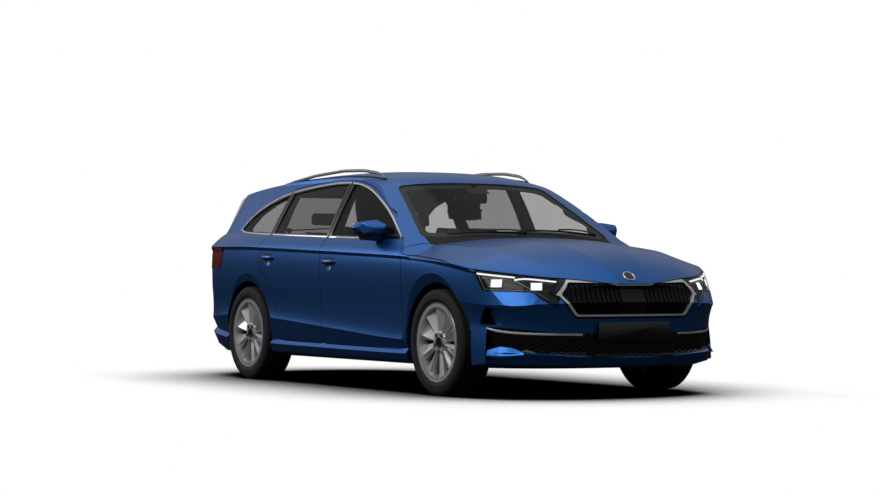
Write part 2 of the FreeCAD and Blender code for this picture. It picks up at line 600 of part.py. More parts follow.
fender = main_solid(skin_right.common(side(fender_outline)).cut(bonnet_keepout).cut(well["front"])
                    .cut(right_lips["front"]).cut(headlamp_zone).cut(front_bumper_zone))

# ---------------------------------------------------------------- body side
body_zone = [
    (1180, 100, 0), (1180, 880, 0), (1080, 960, 0), (1030, 1060, 0), (700, 1700, 0), (-2700, 1700, 0), (-2700, 100, 0),
]
body = wall_right.common(side(body_zone))
body = body.cut(skin_right.common(side(fender_outline)))
for outline, name in ((front_door_outline, "front"), (rear_door_outline, "rear")):
    body = body.cut(pocket_right.common(side(outline, GAP)))
    body = body.cut(side(outline, RUNNING - REBATE))
    edge = front_edge[name]
    pocket = hinge_layer.common(box(edge - 2 * HINGE_BEHIND, edge + GAP, -FAR, 0, 250, 995))
    body = body.cut(pocket.common(side(outline, GAP)))
body = body.cut(side(quarter_window)).cut(roof_zone).cut(screen_prism()).cut(gate_keepout)
body = body.cut(skin_right.common(rear_bumper_zone)).cut(skin_right.common(tail_lamp_zone))
body = body.cut(bonnet_keepout).cut(well["rear"]).cut(well["front"]).cut(right_lips["rear"])
# The front door's slanted edge swings back across its own opening, so no lap of the body stays behind that edge.
body = body.cut(box(530, 1030, -FAR, -250, 930, 1240).common(side(front_door_outline, GAP)))
# What the bonnet's rear edge passes through as it swings is cut free.
BONNET_AXIS = Vector(1000, 0, 925)
bonnet_edge = placed(bonnet.common(box(1000, 1215, -FAR, FAR, 860, 1050)), -3, 0, 2)
bonnet_paths = []
for turn in (4, 8, 13, 19, 26, 34):
    swung = bonnet_edge.copy()
    swung.rotate(BONNET_AXIS, Vector(0, -1, 0), turn)
    bonnet_paths.append(swung)
body = body.cut(bonnet_paths)
# Wheel houses: the inner wall of each wheel opening.
HOUSE_WALL = 24
HOUSE_BOTTOM = 262
FRONT_HOUSE_Y, REAR_HOUSE_Y = 470, 612
AXLE_HOLE = 60
floor_z = size("floor_z")


def wheel_house(axle_x, inner_y):
    outside = drum(axle_x, WHEEL_Z, ARCH + HOUSE_WALL, -870, -inner_y + HOUSE_WALL)
    inside = drum(axle_x, WHEEL_Z, ARCH, -FAR, -inner_y)
    below = box(axle_x - 600, axle_x + 600, -FAR, 0, -FAR, HOUSE_BOTTOM)
    return outside.cut(inside).cut(below).common(UNDER_SKIN)


rear_house = wheel_house(REAR_AXLE, REAR_HOUSE_Y).cut(drum(REAR_AXLE, WHEEL_Z, AXLE_HOLE, -FAR, 0))
door_swing = side(rear_door_outline, RUNNING - REBATE).cut(box(-FAR, -980, -FAR, 0, -FAR, FAR))
screen_end = box(985, 1300, -700, 0, 880, FAR)
body = body.fuse(rear_house).cut(pocket_right.common(side(rear_door_outline, GAP))).cut(door_swing).cut(screen_end)
body = main_solid(body)
# Each front wheel house carries a strut tower with the rubber buffer that the closed bonnet rests on.
SEAT_GAP = 0.3           # between a piece and the seat that carries it
TOWER_Y, TOWER_RADIUS, TOWER_TOP, BUFFER_RADIUS = -560, 70, 820, 14
tower_foot = WHEEL_Z + ARCH + HOUSE_WALL / 2
tower = Part.makeCone(TOWER_RADIUS + 30, TOWER_RADIUS, TOWER_TOP - tower_foot, Vector(FRONT_AXLE, TOWER_Y, tower_foot))
tower = tower.fuse(Part.makeCylinder(BUFFER_RADIUS, 200, Vector(FRONT_AXLE, TOWER_Y, TOWER_TOP - 10)))
tower = tower.common(placed(UNDER_SKIN, 0, 0, -SEAT_GAP)).cut(drum(FRONT_AXLE, WHEEL_Z, ARCH, -FAR, FAR))
inner_wing = wheel_house(FRONT_AXLE, FRONT_HOUSE_Y).cut(bonnet_keepout).fuse(main_solid(tower)).cut(body)
inner_wing = main_solid(inner_wing)

# ---------------------------------------------------------------- floor, bulkhead and scuttle
FLOOR_WALL = 30
BULKHEAD_X = 1100
STEP_X = -800
BOOT_Z = 500
BOOT_BACK = TAIL_X + 110
inside_tube = tube(DOOR_WALL + 1, 0, 60)
inside = inside_tube.fuse(mirrored(inside_tube)).common(CAVITY)
tray = box(STEP_X - FLOOR_WALL, BULKHEAD_X + FLOOR_WALL, -FAR, FAR, floor_z - FLOOR_WALL, floor_z)
tray = tray.fuse(box(STEP_X - FLOOR_WALL, STEP_X, -FAR, FAR, floor_z, BOOT_Z))
tray = tray.fuse(box(BOOT_BACK, STEP_X, -FAR, FAR, BOOT_Z - FLOOR_WALL, BOOT_Z))
tray = tray.fuse(box(BOOT_BACK, BOOT_BACK + FLOOR_WALL, -FAR, FAR, floor_z, 612))
tray = tray.fuse(box(BULKHEAD_X, BULKHEAD_X + FLOOR_WALL, -FAR, FAR, floor_z, 945))
tray = tray.fuse(box(-400, BULKHEAD_X, -110, 110, floor_z, floor_z + 90))
tray = tray.common(inside)
for axle_x, inner_y in ((FRONT_AXLE, FRONT_HOUSE_Y), (REAR_AXLE, REAR_HOUSE_Y)):
    house = drum(axle_x, WHEEL_Z, ARCH + HOUSE_WALL, -FAR, HOUSE_WALL - inner_y)
    tray = tray.cut(house.fuse(mirrored(house)))
scuttle = wall_layer.common(box(985, 1300, -700, 700, 880, FAR)).cut(screen_prism()).cut(bonnet_keepout)
scuttle = scuttle.cut(bonnet_paths)
# The striker that the tailgate's lock closes on.
striker = box(TAIL_X, BOOT_BACK + FLOOR_WALL, -20, 20, 590, 652).common(placed(CAVITY, SEAT_GAP, 0, 0))
floor = main_solid(tray.fuse([main_solid(scuttle), main_solid(striker)]))

# ---------------------------------------------------------------- wheels, knuckles and axles
TYRE_RADIUS, TYRE_WIDTH, RIM = size("tyre_radius"), size("tyre_width"), size("rim_radius")
FLANGE = RIM + 15
SPOKES = 10
HUB_RADIUS = 72
KINGPIN_Y = HALF_TRACK - 27
SPINDLE_END = HALF_TRACK + 28


def turned(corners):
    """A solid of revolution about Y from (distance along the axle, radius, corner radius), at the origin."""
    solid = Part.Face(ring(corners)).revolve(Vector(0, 0, 0), Vector(1, 0, 0), 360)
    solid.rotate(Vector(0, 0, 0), Vector(0, 0, 1), -90)
    return solid


half_tyre = TYRE_WIDTH / 2
BEAD = 95
tyre_side = [
    (BEAD, RIM, 0), (BEAD, FLANGE + 2, 0), (half_tyre - 3, RIM + 39, 20), (half_tyre, RIM + 61, 20),
    (half_tyre - 7, TYRE_RADIUS - 14, 16), (half_tyre - 22, TYRE_RADIUS, 8),
]
tyre = turned([(-a, r, f) for a, r, f in tyre_side] + list(reversed(tyre_side)))
rim_side = [(BEAD + 7, RIM - 12, 0), (BEAD + 7, FLANGE, 0), (BEAD, FLANGE, 0), (BEAD, RIM, 0)]
rim = turned([(-a, r, f) for a, r, f in rim_side] + list(reversed(rim_side)))
# The outboard face of a right-hand wheel looks along -Y, which is the section's positive end.
hub_back = SPINDLE_END - HALF_TRACK + SEAT_GAP
rim = rim.fuse(turned([(hub_back, 0, 0), (hub_back, HUB_RADIUS, 0), (84, HUB_RADIUS, 10), (84, 0, 0)]))
# Each spoke is a folded blade: its ridge stands out at one edge, and its face falls away to the other edge.
# at the hub and at the rim: radius, y of the ridge, y of the low edge, half width
BLADE = [(52, 84, 70, 13), (RIM - 6, 92, 56, 52)]
BLADE_THICK, RIDGE_SHARE = 12, 0.5
sections = []
for radius, ridge, low, half in BLADE:
    fold = half * RIDGE_SHARE
    corners = [(-half, ridge - 16), (-fold, ridge), (half, low), (half, low - BLADE_THICK), (-half, low - BLADE_THICK)]
    points = [Vector(across, -along, radius) for across, along in corners]
    sections.append(Part.makePolygon(points + points[:1]))
blade = Part.makeLoft(sections, True, True)
for i in range(SPOKES):
    spoke = blade.copy()
    spoke.rotate(Vector(0, 0, 0), Vector(0, 1, 0), 360 / SPOKES * i)
    rim = rim.fuse(spoke)
rim = main_solid(rim.removeSplitter())


def wheel_piece(shape, axle_x, left):
    right = placed(shape, axle_x, -HALF_TRACK, WHEEL_Z)
    return mirrored(right) if left else right


knuckle = box(-55, 55, -690, -660, 250, 430)
knuckle = knuckle.fuse(box(-30, 30, -(KINGPIN_Y + 22), -660, 215 + SEAT_GAP, 250))
knuckle = knuckle.fuse(box(-30, 30, -(KINGPIN_Y + 22), -660, 405, 440))
knuckle = knuckle.fuse(Part.makeCylinder(40, SPINDLE_END - 690, Vector(0, -690, WHEEL_Z), Vector(0, -1, 0)))
knuckle = main_solid(placed(knuckle, FRONT_AXLE, 0, 0))
cross_member = box(FRONT_AXLE - 134, FRONT_AXLE + 136, -469, 0, 180, 215)
cross_member = cross_member.fuse(box(FRONT_AXLE - 30, FRONT_AXLE + 30, -(KINGPIN_Y + 20), 0, 190, 215))
cross_member = cross_member.fuse(box(FRONT_AXLE - 134, FRONT_AXLE - 90, -469, -447, 215, HOUSE_BOTTOM))
strut = Part.makeCylinder(28, 699.5 - 441, Vector(FRONT_AXLE, -600, 441))
strut = strut.fuse(box(FRONT_AXLE - 20, FRONT_AXLE + 20, -(KINGPIN_Y + 18), -572, 440 + SEAT_GAP, 465))
strut = strut.cut(drum(FRONT_AXLE, WHEEL_Z, ARCH + 1000, -FAR, FAR).cut(drum(FRONT_AXLE, WHEEL_Z, ARCH, -FAR, FAR)))
subframe = cross_member.fuse(mirrored(cross_member)).removeSplitter()
front_axle = Part.Compound([main_solid(subframe), main_solid(strut), mirrored(main_solid(strut))])
rear_axle = Part.makeCylinder(38, 2 * SPINDLE_END, Vector(REAR_AXLE, -SPINDLE_END, WHEEL_Z), Vector(0, 1, 0))
for y in (-570, 510):
    rear_axle = rear_axle.fuse(box(REAR_AXLE, STEP_X - FLOOR_WALL, y, y + 60, WHEEL_Z - 28, WHEEL_Z + 28))
rear_axle = main_solid(rear_axle)

# ---------------------------------------------------------------- cabin
SEAT_Y = 370
seat_side = [
    (360, floor_z, 0), (400, 520, 50), (370, 575, 40), (-40, 545, 60), (-215, 1110, 50), (-330, 1100, 40),
    (-150, floor_z, 0),
]
headrest_side = [(-232, 1090, 0), (-245, 1290, 40), (-335, 1285, 40), (-310, 1085, 0)]
seat = slab(seat_side, -SEAT_Y - 245, -SEAT_Y + 245).fuse(slab(headrest_side, -SEAT_Y - 130, -SEAT_Y + 130))
bench_side = [
    (-430, floor_z, 0), (-400, 560, 50), (-440, 600, 40), (-810, 570, 60), (-930, 1080, 50), (-1030, 1075, 40),
    (-960, BOOT_Z, 0), (STEP_X, BOOT_Z, 0), (STEP_X, floor_z, 0),
]
bench = slab(bench_side, -560, 560)
rest_side = [(-935, 1060, 0), (-950, 1200, 40), (-1030, 1195, 40), (-1020, 1055, 0)]
for y in (-370, 0, 370):
    bench = bench.fuse(slab(rest_side, y - 120, y + 120))
bench = main_solid(bench.removeSplitter())
dash_side = [
    (BULKHEAD_X, 600, 0), (BULKHEAD_X, 910, 20), (960, 935, 60), (760, 895, 60), (720, 760, 40), (800, 640, 40),
]
dashboard = main_solid(slab(dash_side, -690, 690).cut(floor))
WHEEL_X, WHEEL_Y, WHEEL_UP = 560, SEAT_Y, 850
steering = Part.makeTorus(178, 14).fuse(Part.makeCylinder(50, 40, Vector(0, 0, -20)))
steering = steering.fuse(Part.makeBox(340, 34, 16, Vector(-170, -17, -8)))
steering = steering.fuse(Part.makeBox(170, 34, 16, Vector(-170, -17, -8)))
steering = steering.fuse(Part.makeCylinder(24, 260, Vector(0, 0, -270)))
steering.Placement = Placement(Vector(WHEEL_X, WHEEL_Y, WHEEL_UP), Rotation(Vector(0, 1, 0), -66))
steering = main_solid(steering.cut(dashboard))
engine = doc.addObject("Part::Box", "engine_block")
for name, cell in (("Length", "engine_length"), ("Width", "engine_width"), ("Height", "engine_height")):
    engine.setExpression(name, "sizes." + cell)
engine.Placement.Base = Vector(FRONT_AXLE - 120, -size("engine_width") / 2, 215)

# ---------------------------------------------------------------- rails and mirrors
rail_side = [
    (290, 1360, 0), (246, 1407, 20), (150, 1442, 300), (-60, 1466, 500), (-350, 1474, 900), (-764, 1456, 900),
    (-1120, 1422, 400), (-1310, 1388, 60), (-1350, 1350, 0),
]
rail = main_solid(slab(rail_side, -574, -546).cut(OUTER))
# The mirror is what three outlines share, seen from the front (y, z), from the side (x, z) and from above (x, y).
mirror_front = [(-1026, 1052, 8), (-985, 1086, 30), (-870, 1102, 30), (-800, 1064, 20), (-812, 1006, 12), (-985, 1002, 20)]
mirror_side = [(612, 1110, 0), (690, 1106, 30), (752, 1052, 10), (742, 990, 20), (612, 990, 0)]
mirror_plan = [
    (612, -1030, 0), (668, -1030, 20), (748, -950, 60), (760, -850, 60), (700, -780, 30), (612, -780, 0),
]
mirror_cap = slab(mirror_front, 600, 800, along="x").common(slab(mirror_side, -FAR, 0))
mirror_cap = mirror_cap.common(slab(mirror_plan, 900, 1200, along="z"))
mirror_base = [(-975, 970, 14), (-985, 1008, 0), (-815, 1008, 0), (-780, 992, 0), (-780, 964, 0), (-870, 962, 20)]
mirror = mirror_cap.fuse(slab(mirror_base, 640, 722, along="x")).cut(OUTER).cut(placed(OUTER, 0, -1, 0))
mirror = main_solid(mirror.removeSplitter())

# ---------------------------------------------------------------- the document's objects, one to each node
fixed_glass = Part.Compound([windscreen, glass_quarter, mirrored(glass_quarter)])
grilles = Part.Compound([grille, lower_grille])
nodes = {
    "roof": roof, "bonnet": bonnet, "tailgate": tailgate, "tailgate_window": glass_back, "fixed_glass": fixed_glass,
    "front_bumper": front_bumper, "rear_bumper": rear_bumper, "grille": grilles, "floor": floor,
    "headlamps": pair_of(headlamp), "tail_lamps": pair_of(tail_lamp), "grille_frame": grille_frame,
    "inner_wings": pair_of(inner_wing), "front_subframe": front_axle, "rear_axle": rear_axle,
    "front_seats": pair_of(seat), "rear_bench": bench, "dashboard": dashboard, "steering_wheel": steering,
    "roof_rails": pair_of(rail),
}
for name, right in (("body_side", body), ("fender", fender), ("door_front", door_front), ("door_rear", door_rear),
                    ("window_front", glass_front), ("window_rear", glass_rear), ("mirror", mirror),
                    ("knuckle", knuckle)):
    nodes[name + "_right"] = right
    nodes[name + "_left"] = mirrored(right)
for where, axle_x in (("front", FRONT_AXLE), ("rear", REAR_AXLE)):
    for hand in ("right", "left"):
        nodes[f"tyre_{where}_{hand}"] = wheel_piece(tyre, axle_x, hand == "left")
        nodes[f"rim_{where}_{hand}"] = wheel_piece(rim, axle_x, hand == "left")
for name, shape in nodes.items():
    doc.addObject("Part::Feature", name).Shape = shape
doc.recompute()

# ---------------------------------------------------------------- checks and export
os.makedirs("parts", exist_ok=True)
pieces = [engine] + [doc.getObject(name) for name in nodes]
for piece in pieces:
    if "Invalid" in piece.State or "Error" in piece.State:
        raise RuntimeError(f"{piece.Label} failed: {piece.State}")
    if piece.Shape.isNull() or not piece.Shape.isValid():
        raise RuntimeError(f"{piece.Label} has no valid shape")
for piece in pieces:
    piece.Shape.exportStep(f"parts/{piece.Label}.step")
    print(piece.Label, len(piece.Shape.Solids), round(piece.Shape.Volume / 1e6, 2), "litres")
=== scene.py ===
# %% [markdown]
# # A five-door station wagon in Blender
# This notebook dresses a finished engineering model of a car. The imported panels, glass, wheels and cabin pieces
# have their real size and are never moved. It adds the finish of every surface and the trim, lamps, tread and seats.
# Everything is in metres: +X points forward, +Y to the car's left and +Z up, with the ground at zero.

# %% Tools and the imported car
import json
import math
from functools import partial

import bmesh
import bpy
from mathutils import Matrix, Vector
from mathutils.bvhtree import BVHTree


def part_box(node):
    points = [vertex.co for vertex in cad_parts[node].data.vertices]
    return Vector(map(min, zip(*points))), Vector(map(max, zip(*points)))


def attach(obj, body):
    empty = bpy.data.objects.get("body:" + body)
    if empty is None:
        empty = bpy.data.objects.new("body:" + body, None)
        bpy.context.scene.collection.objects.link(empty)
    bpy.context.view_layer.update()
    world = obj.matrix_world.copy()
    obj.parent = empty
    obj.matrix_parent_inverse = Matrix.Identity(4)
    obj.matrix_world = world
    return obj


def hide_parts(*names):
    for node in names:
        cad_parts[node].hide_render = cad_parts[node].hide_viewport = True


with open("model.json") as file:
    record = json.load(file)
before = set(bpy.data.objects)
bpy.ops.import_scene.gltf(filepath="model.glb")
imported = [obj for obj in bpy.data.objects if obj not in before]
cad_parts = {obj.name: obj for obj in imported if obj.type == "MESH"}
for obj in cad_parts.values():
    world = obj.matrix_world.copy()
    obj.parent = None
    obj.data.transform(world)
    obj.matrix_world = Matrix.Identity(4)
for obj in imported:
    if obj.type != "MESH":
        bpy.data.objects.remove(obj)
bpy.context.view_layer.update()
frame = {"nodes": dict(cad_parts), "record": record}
nodes = frame["nodes"]
scene = bpy.context.scene

# %% [markdown]
# ## The camera
# A car is usually shown from low down, ahead of its front corner, with a long lens so that the near wheel doesn't
# swell. The camera stands about 16 m away at the height of the bonnet and looks very slightly up.

# %% Camera
CAMERA_PLACE = Vector((13.74275, -8.00955, 0.760134))
CAMERA_HEADING = math.radians(149.7396)
CAMERA_TILT = math.radians(0.61284)
CAMERA_LENS = 94.15

level = math.cos(CAMERA_TILT)
look_along = Vector((level * math.cos(CAMERA_HEADING), level * math.sin(CAMERA_HEADING), math.sin(CAMERA_TILT)))
camera_data = bpy.data.cameras.new("camera")
camera_data.lens = CAMERA_LENS
camera_data.sensor_width = 36
camera_data.clip_end = 200
camera = bpy.data.objects.new("camera", camera_data)
camera.location = CAMERA_PLACE
camera.rotation_euler = look_along.to_track_quat("-Z", "Y").to_euler()
scene.collection.objects.link(camera)
scene.camera = camera
print("camera", [round(c, 3) for c in camera.location])

# %% [markdown]
# ## Wiring shader nodes
# Every finish below is a small graph of nodes. The first helper fills a socket: with a number or colour, or with a
# link when it is given another node's output. The others add the few kinds of node that come back often.

# %% Node helpers


def fill(tree, socket, value):
    if isinstance(value, bpy.types.NodeSocket):
        tree.links.new(value, socket)
    else:
        socket.default_value = value


def node(tree, kind, settings=None, **inputs):
    """A new node; inputs are socket names with underscores for spaces, or i0, i1... for a socket's number."""
    made = tree.nodes.new("ShaderNode" + kind)
    for key, value in (settings or {}).items():
        setattr(made, key, value)
    for key, value in inputs.items():
        numbered = key[0] == "i" and key[1:].isdigit()
        fill(tree, made.inputs[int(key[1:]) if numbered else key.replace("_", " ")], value)
    return made


def maths(tree, operation, first, second=0.0):
    return node(tree, "Math", {"operation": operation}, i0=first, i1=second).outputs[0]


def between(tree, value, low, high, out_low=0.0, out_high=1.0):
    """The value's place between low and high, as a number from out_low to out_high."""
    ranged = node(tree, "MapRange", None, Value=value, From_Min=low, From_Max=high, To_Min=out_low, To_Max=out_high)
    return ranged.outputs["Result"]


def blended(tree, amount, first, second):
    """The first colour where amount is 0 and the second where it is 1."""
    return node(tree, "Mix", {"data_type": "RGBA"}, i0=amount, i6=first, i7=second).outputs[2]


# %% [markdown]
# ## Studio light
# Painted metal is mostly a mirror for its room, so the room matters more than the paint. The ceiling is bright;
# towards the horizon the walls go dark, which lets the sides of the body fall off to navy. To the eye and through
# the glass the background is plain white: Light Path tells which kind of ray is asking. Mirror rays see some of
# that white above the height where the walls turn bright.

# %% World
scene.view_settings.view_transform = "Standard"
WALL_DARK, WALL_BRIGHT = 0.03, 0.32     # sines of heights above the horizon
ROOM_LOW, ROOM_HIGH = 0.02, 0.27
MIRROR_WHITE = 0.12

world = bpy.data.worlds.new("studio")
scene.world = world
world.use_nodes = True
room = world.node_tree
room.nodes.clear()
ray_kind = node(room, "LightPath")
toward = node(room, "SeparateXYZ", None, i0=node(room, "TexCoord").outputs["Generated"])
brightness = between(room, toward.outputs["Z"], WALL_DARK, WALL_BRIGHT, ROOM_LOW, ROOM_HIGH)
soft_room = node(room, "Background", None, Color=(1, 1, 1, 1), Strength=brightness)
plain_white = node(room, "Background", None, Color=(1, 1, 1, 1), Strength=1.0)
mirror_share = maths(room, "MULTIPLY", ray_kind.outputs["Is Glossy Ray"],
                     between(room, toward.outputs["Z"], WALL_DARK, WALL_BRIGHT, 0.0, MIRROR_WHITE))
seen = maths(room, "MAXIMUM", ray_kind.outputs["Is Camera Ray"], ray_kind.outputs["Is Transmission Ray"])
seen = maths(room, "MAXIMUM", seen, mirror_share)
shown = node(room, "MixShader", None, i0=seen, i1=soft_room.outputs[0], i2=plain_white.outputs[0])
node(room, "OutputWorld", None, i0=shown.outputs[0])
print("world nodes", len(room.nodes))

# %% [markdown]
# Three area lamps stand in for the large soft boxes of a studio: one over the car, one high at its front corner that
# gives the nose, the wheels and the front wing their sheen, and one behind that runs a light along the shoulder.

# %% Lamps


def soft_lamp(name, place, aim, width, height, power):
    data = bpy.data.lights.new(name, "AREA")
    data.shape = "RECTANGLE"
    data.size, data.size_y = width, height
    data.energy = power
    lamp = bpy.data.objects.new(name, data)
    lamp.location = place
    lamp.rotation_euler = (Vector(aim) - Vector(place)).to_track_quat("-Z", "Y").to_euler()
    scene.collection.objects.link(lamp)
    return lamp


soft_lamp("ceiling_lamp", (0.0, 0.0, 6.5), (0.0, 0.0, 0.0), 9.0, 5.0, 55)
soft_lamp("side_lamp", (3.4, -6.2, 5.6), (1.4, -0.6, 0.6), 5.0, 2.6, 125)
soft_lamp("shoulder_lamp", (-7.5, -5.5, 3.6), (-0.5, -0.8, 0.9), 4.0, 1.6, 90)

# %% [markdown]
# ## The floor
# The floor is dark to the car, as a studio's carpet is, and white to the eye. Ambient Occlusion measures how much of
# the room each point of the floor can see, so the white goes to black under the car, with a soft edge.

# %% Floor
SHADOW_REACH, SHADOW_BLACK, SHADOW_WHITE, SHADOW_FALL = 1.3, 0.42, 0.92, 1.6
floor_mesh = bpy.data.meshes.new("studio_floor")
floor_bm = bmesh.new()
bmesh.ops.create_grid(floor_bm, x_segments=1, y_segments=1, size=60)
floor_bm.to_mesh(floor_mesh)
floor_bm.free()
studio_floor = bpy.data.objects.new("studio_floor", floor_mesh)
scene.collection.objects.link(studio_floor)

floor_paint = bpy.data.materials.new("studio_floor")
floor_paint.use_nodes = True
tree = floor_paint.node_tree
tree.nodes.clear()
open_sky = node(tree, "AmbientOcclusion", {"samples": 16}, Distance=SHADOW_REACH).outputs["AO"]
shade = maths(tree, "POWER", between(tree, open_sky, SHADOW_BLACK, SHADOW_WHITE), SHADOW_FALL)
white_floor = node(tree, "Emission", None, Color=(1, 1, 1, 1), Strength=shade)
carpet = node(tree, "BsdfDiffuse", None, Color=(0.05, 0.05, 0.05, 1))
eye = node(tree, "LightPath")
sees = maths(tree, "MAXIMUM", eye.outputs["Is Camera Ray"], eye.outputs["Is Transmission Ray"])
either = node(tree, "MixShader", None, i0=sees, i1=carpet.outputs[0], i2=white_floor.outputs[0])
node(tree, "OutputMaterial", None, i0=either.outputs[0])
studio_floor.data.materials.append(floor_paint)
print("floor", round(studio_floor.dimensions.x), "m across")

# %% [markdown]
# ## Finishes
# One function builds a material from what a painter would name: colour, how metallic, how rough, and how much
# clear lacquer. Each has a grain, a noise in the object's own coordinates that varies the colour and the roughness
# a little and stands up as a fine bump. Plastic, cast metal, rubber and paint differ mostly in these numbers.

# %% Finish


def finish(name, colour, metallic=0.0, roughness=0.5, coat=0.0, coat_roughness=0.03, specular=0.5,
           grain=120.0, spread=0.12, bump=0.1, stretch=(1, 1, 1), flake=0.0):
    material = bpy.data.materials.new(name)
    material.use_nodes = True
    tree = material.node_tree
    shader = tree.nodes["Principled BSDF"]
    for socket, value in (("Metallic", metallic), ("Coat Weight", coat), ("Coat Roughness", coat_roughness),
                          ("Specular IOR Level", specular)):
        shader.inputs[socket].default_value = value
    place = node(tree, "TexCoord").outputs["Object"]
    scaled = node(tree, "Mapping", None, Vector=place, Scale=stretch).outputs[0]
    noise = node(tree, "TexNoise", None, Vector=scaled, Scale=grain, Detail=3.0).outputs["Fac"]
    low = tuple(c * (1 - spread) for c in colour) + (1,)
    high = tuple(min(c * (1 + spread), 1) for c in colour) + (1,)
    tree.links.new(blended(tree, between(tree, noise, 0.35, 0.65), low, high), shader.inputs["Base Color"])
    rough = between(tree, noise, 0.3, 0.7, max(roughness - 0.04, 0.02), roughness + 0.04)
    tree.links.new(rough, shader.inputs["Roughness"])
    relief = node(tree, "TexVoronoi", None, Vector=place, Scale=flake).outputs["Distance"] if flake else noise
    raised = node(tree, "Bump", None, Strength=bump, Distance=0.0006, Height=relief)
    tree.links.new(raised.outputs[0], shader.inputs["Normal"])
    return material


def parts_of(material):
    """The material's tree and shader, for adding to a finish."""
    tree = material.node_tree
    return tree, tree.nodes["Principled BSDF"]


def recolour(material, amount, colour, roughness=None, metallic=None):
    """Where amount is 1 the finish takes this colour instead of its own, and the other values that are given."""
    tree, shader = parts_of(material)
    before = shader.inputs["Base Color"].links[0].from_socket
    tree.links.new(blended(tree, amount, before, (*colour, 1)), shader.inputs["Base Color"])
    for socket, value in (("Roughness", roughness), ("Metallic", metallic)):
        if value is None:
            continue
        own = shader.inputs[socket]
        start = own.links[0].from_socket if own.links else own.default_value
        mixer = node(tree, "Mix", {"data_type": "FLOAT"}, i0=amount, i2=start, i3=value)
        tree.links.new(mixer.outputs[0], own)


def own_place(tree):
    """x, y and z of a point on the piece, in the car's own coordinates."""
    apart = node(tree, "SeparateXYZ", None, i0=node(tree, "TexCoord").outputs["Object"])
    return apart.outputs[0], apart.outputs[1], apart.outputs[2]


def wear(obj, *materials):
    """Gives the object its finishes. Clearing an empty list would set every face back to the first finish."""
    if obj.data.materials:
        obj.data.materials.clear()
    for material in materials:
        obj.data.materials.append(material)


# %% [markdown]
# ## Metallic paint
# Car paint is a coloured base with fine metal flakes under a clear lacquer. The flakes lie nearly flat, so a panel is
# bright where it faces the light and falls off quickly. A metallic shader of middling roughness gives that, a tiny
# cell pattern stands for the flakes, and the lacquer is a thin coat. The panels' cabin sides are lined in black.

# %% Paint
PAINT = (0.030, 0.160, 0.53)
LINING = (0.006, 0.006, 0.007)
LINING_START = 0.12


def body_colour(name):
    return finish(name, PAINT, metallic=0.92, roughness=0.36, coat=0.2, coat_roughness=0.06, grain=900.0,
                  spread=0.10, bump=0.06, flake=1400.0)


def lined(material, side=0.0, up=0.0, along=0.0):
    """Faces of the panel that look into the cabin get black lining: inwards, downwards or forwards."""
    tree = material.node_tree
    looks = node(tree, "SeparateXYZ", None, i0=node(tree, "NewGeometry").outputs["True Normal"])
    x, y, z = own_place(tree)
    inward = maths(tree, "MULTIPLY", maths(tree, "MULTIPLY", y, looks.outputs[1]), -side)
    facing = maths(tree, "ADD", inward, maths(tree, "MULTIPLY", looks.outputs[2], -up))
    facing = maths(tree, "ADD", facing, maths(tree, "MULTIPLY", looks.outputs[0], along))
    recolour(material, maths(tree, "GREATER_THAN", facing, LINING_START), LINING, roughness=0.7, metallic=0.0)
    return material


paint = body_colour("metallic_blue")
roof_paint = lined(body_colour("roof_paint"), up=1.0)
gate_paint = lined(body_colour("tailgate_paint"), along=1.0)

# %% [markdown]
# On the doors and the body side everything inside the bright window line is black: the frames and the pillars
# between them. Two curves give the line's lower and upper height along the car, with black film between them.

# %% Black window frames
WINDOW_BELT = [(-1.553, 1.060), (-1.359, 1.036), (-0.135, 0.999), (0.367, 0.979), (0.945, 0.976)]
WINDOW_TOP = [(-1.553, 1.091), (-1.449, 1.192), (-1.254, 1.274), (-0.997, 1.332), (-0.600, 1.370), (-0.190, 1.386),
              (0.083, 1.366), (0.316, 1.311), (0.700, 1.153), (0.945, 0.980)]
LINE_X, LINE_Z = (-1.553, 0.945), (0.9, 1.45)


def height_curve(tree, along, points):
    """Height of a line at each place along the car."""
    share = between(tree, along, *LINE_X)
    curve = node(tree, "FloatCurve", None, Value=share)
    drawn = curve.mapping.curves[0]
    while len(drawn.points) < len(points):
        drawn.points.new(0.5, 0.5)
    for point, (x, z) in zip(drawn.points, points):
        point.location = (x - LINE_X[0]) / (LINE_X[1] - LINE_X[0]), (z - LINE_Z[0]) / (LINE_Z[1] - LINE_Z[0])
        point.handle_type = "VECTOR"
    curve.mapping.update()
    return between(tree, curve.outputs[0], 0, 1, *LINE_Z)


BLACK_FILM = (0.004, 0.004, 0.005)
side_paint = body_colour("metallic_blue_with_black_frames")
tree = side_paint.node_tree
x, _, z = own_place(tree)
above = maths(tree, "GREATER_THAN", z, height_curve(tree, x, WINDOW_BELT))
below = maths(tree, "LESS_THAN", z, height_curve(tree, x, WINDOW_TOP))
inside = maths(tree, "MULTIPLY", above, below)
for edge, test in ((LINE_X[0], "GREATER_THAN"), (LINE_X[1], "LESS_THAN")):
    inside = maths(tree, "MULTIPLY", inside, maths(tree, test, x, edge))
recolour(side_paint, inside, BLACK_FILM, roughness=0.3, metallic=0.0)
lined(side_paint, side=1.0)
print("side paint nodes", len(tree.nodes))

# %% [markdown]
# ## Glass
# A car's windows are thin tinted panes: one looks through them into a dark cabin and sees only a weak reflection. A
# see-through share in the shader does that without the noise of light bent through thick glass, and it lets light
# into the cabin. A faint noise stands for road film.

# %% Glass


def pane(name, tint, share):
    """A tinted pane; share is how much of it is solid."""
    material = finish(name, tint, roughness=0.06, specular=0.5, grain=14.0, spread=0.2, bump=0.0)
    parts_of(material)[1].inputs["Alpha"].default_value = share
    return material


clear_glass = pane("clear_glass", (0.012, 0.014, 0.015), 0.25)
dark_glass = pane("dark_glass", (0.010, 0.011, 0.012), 0.42)

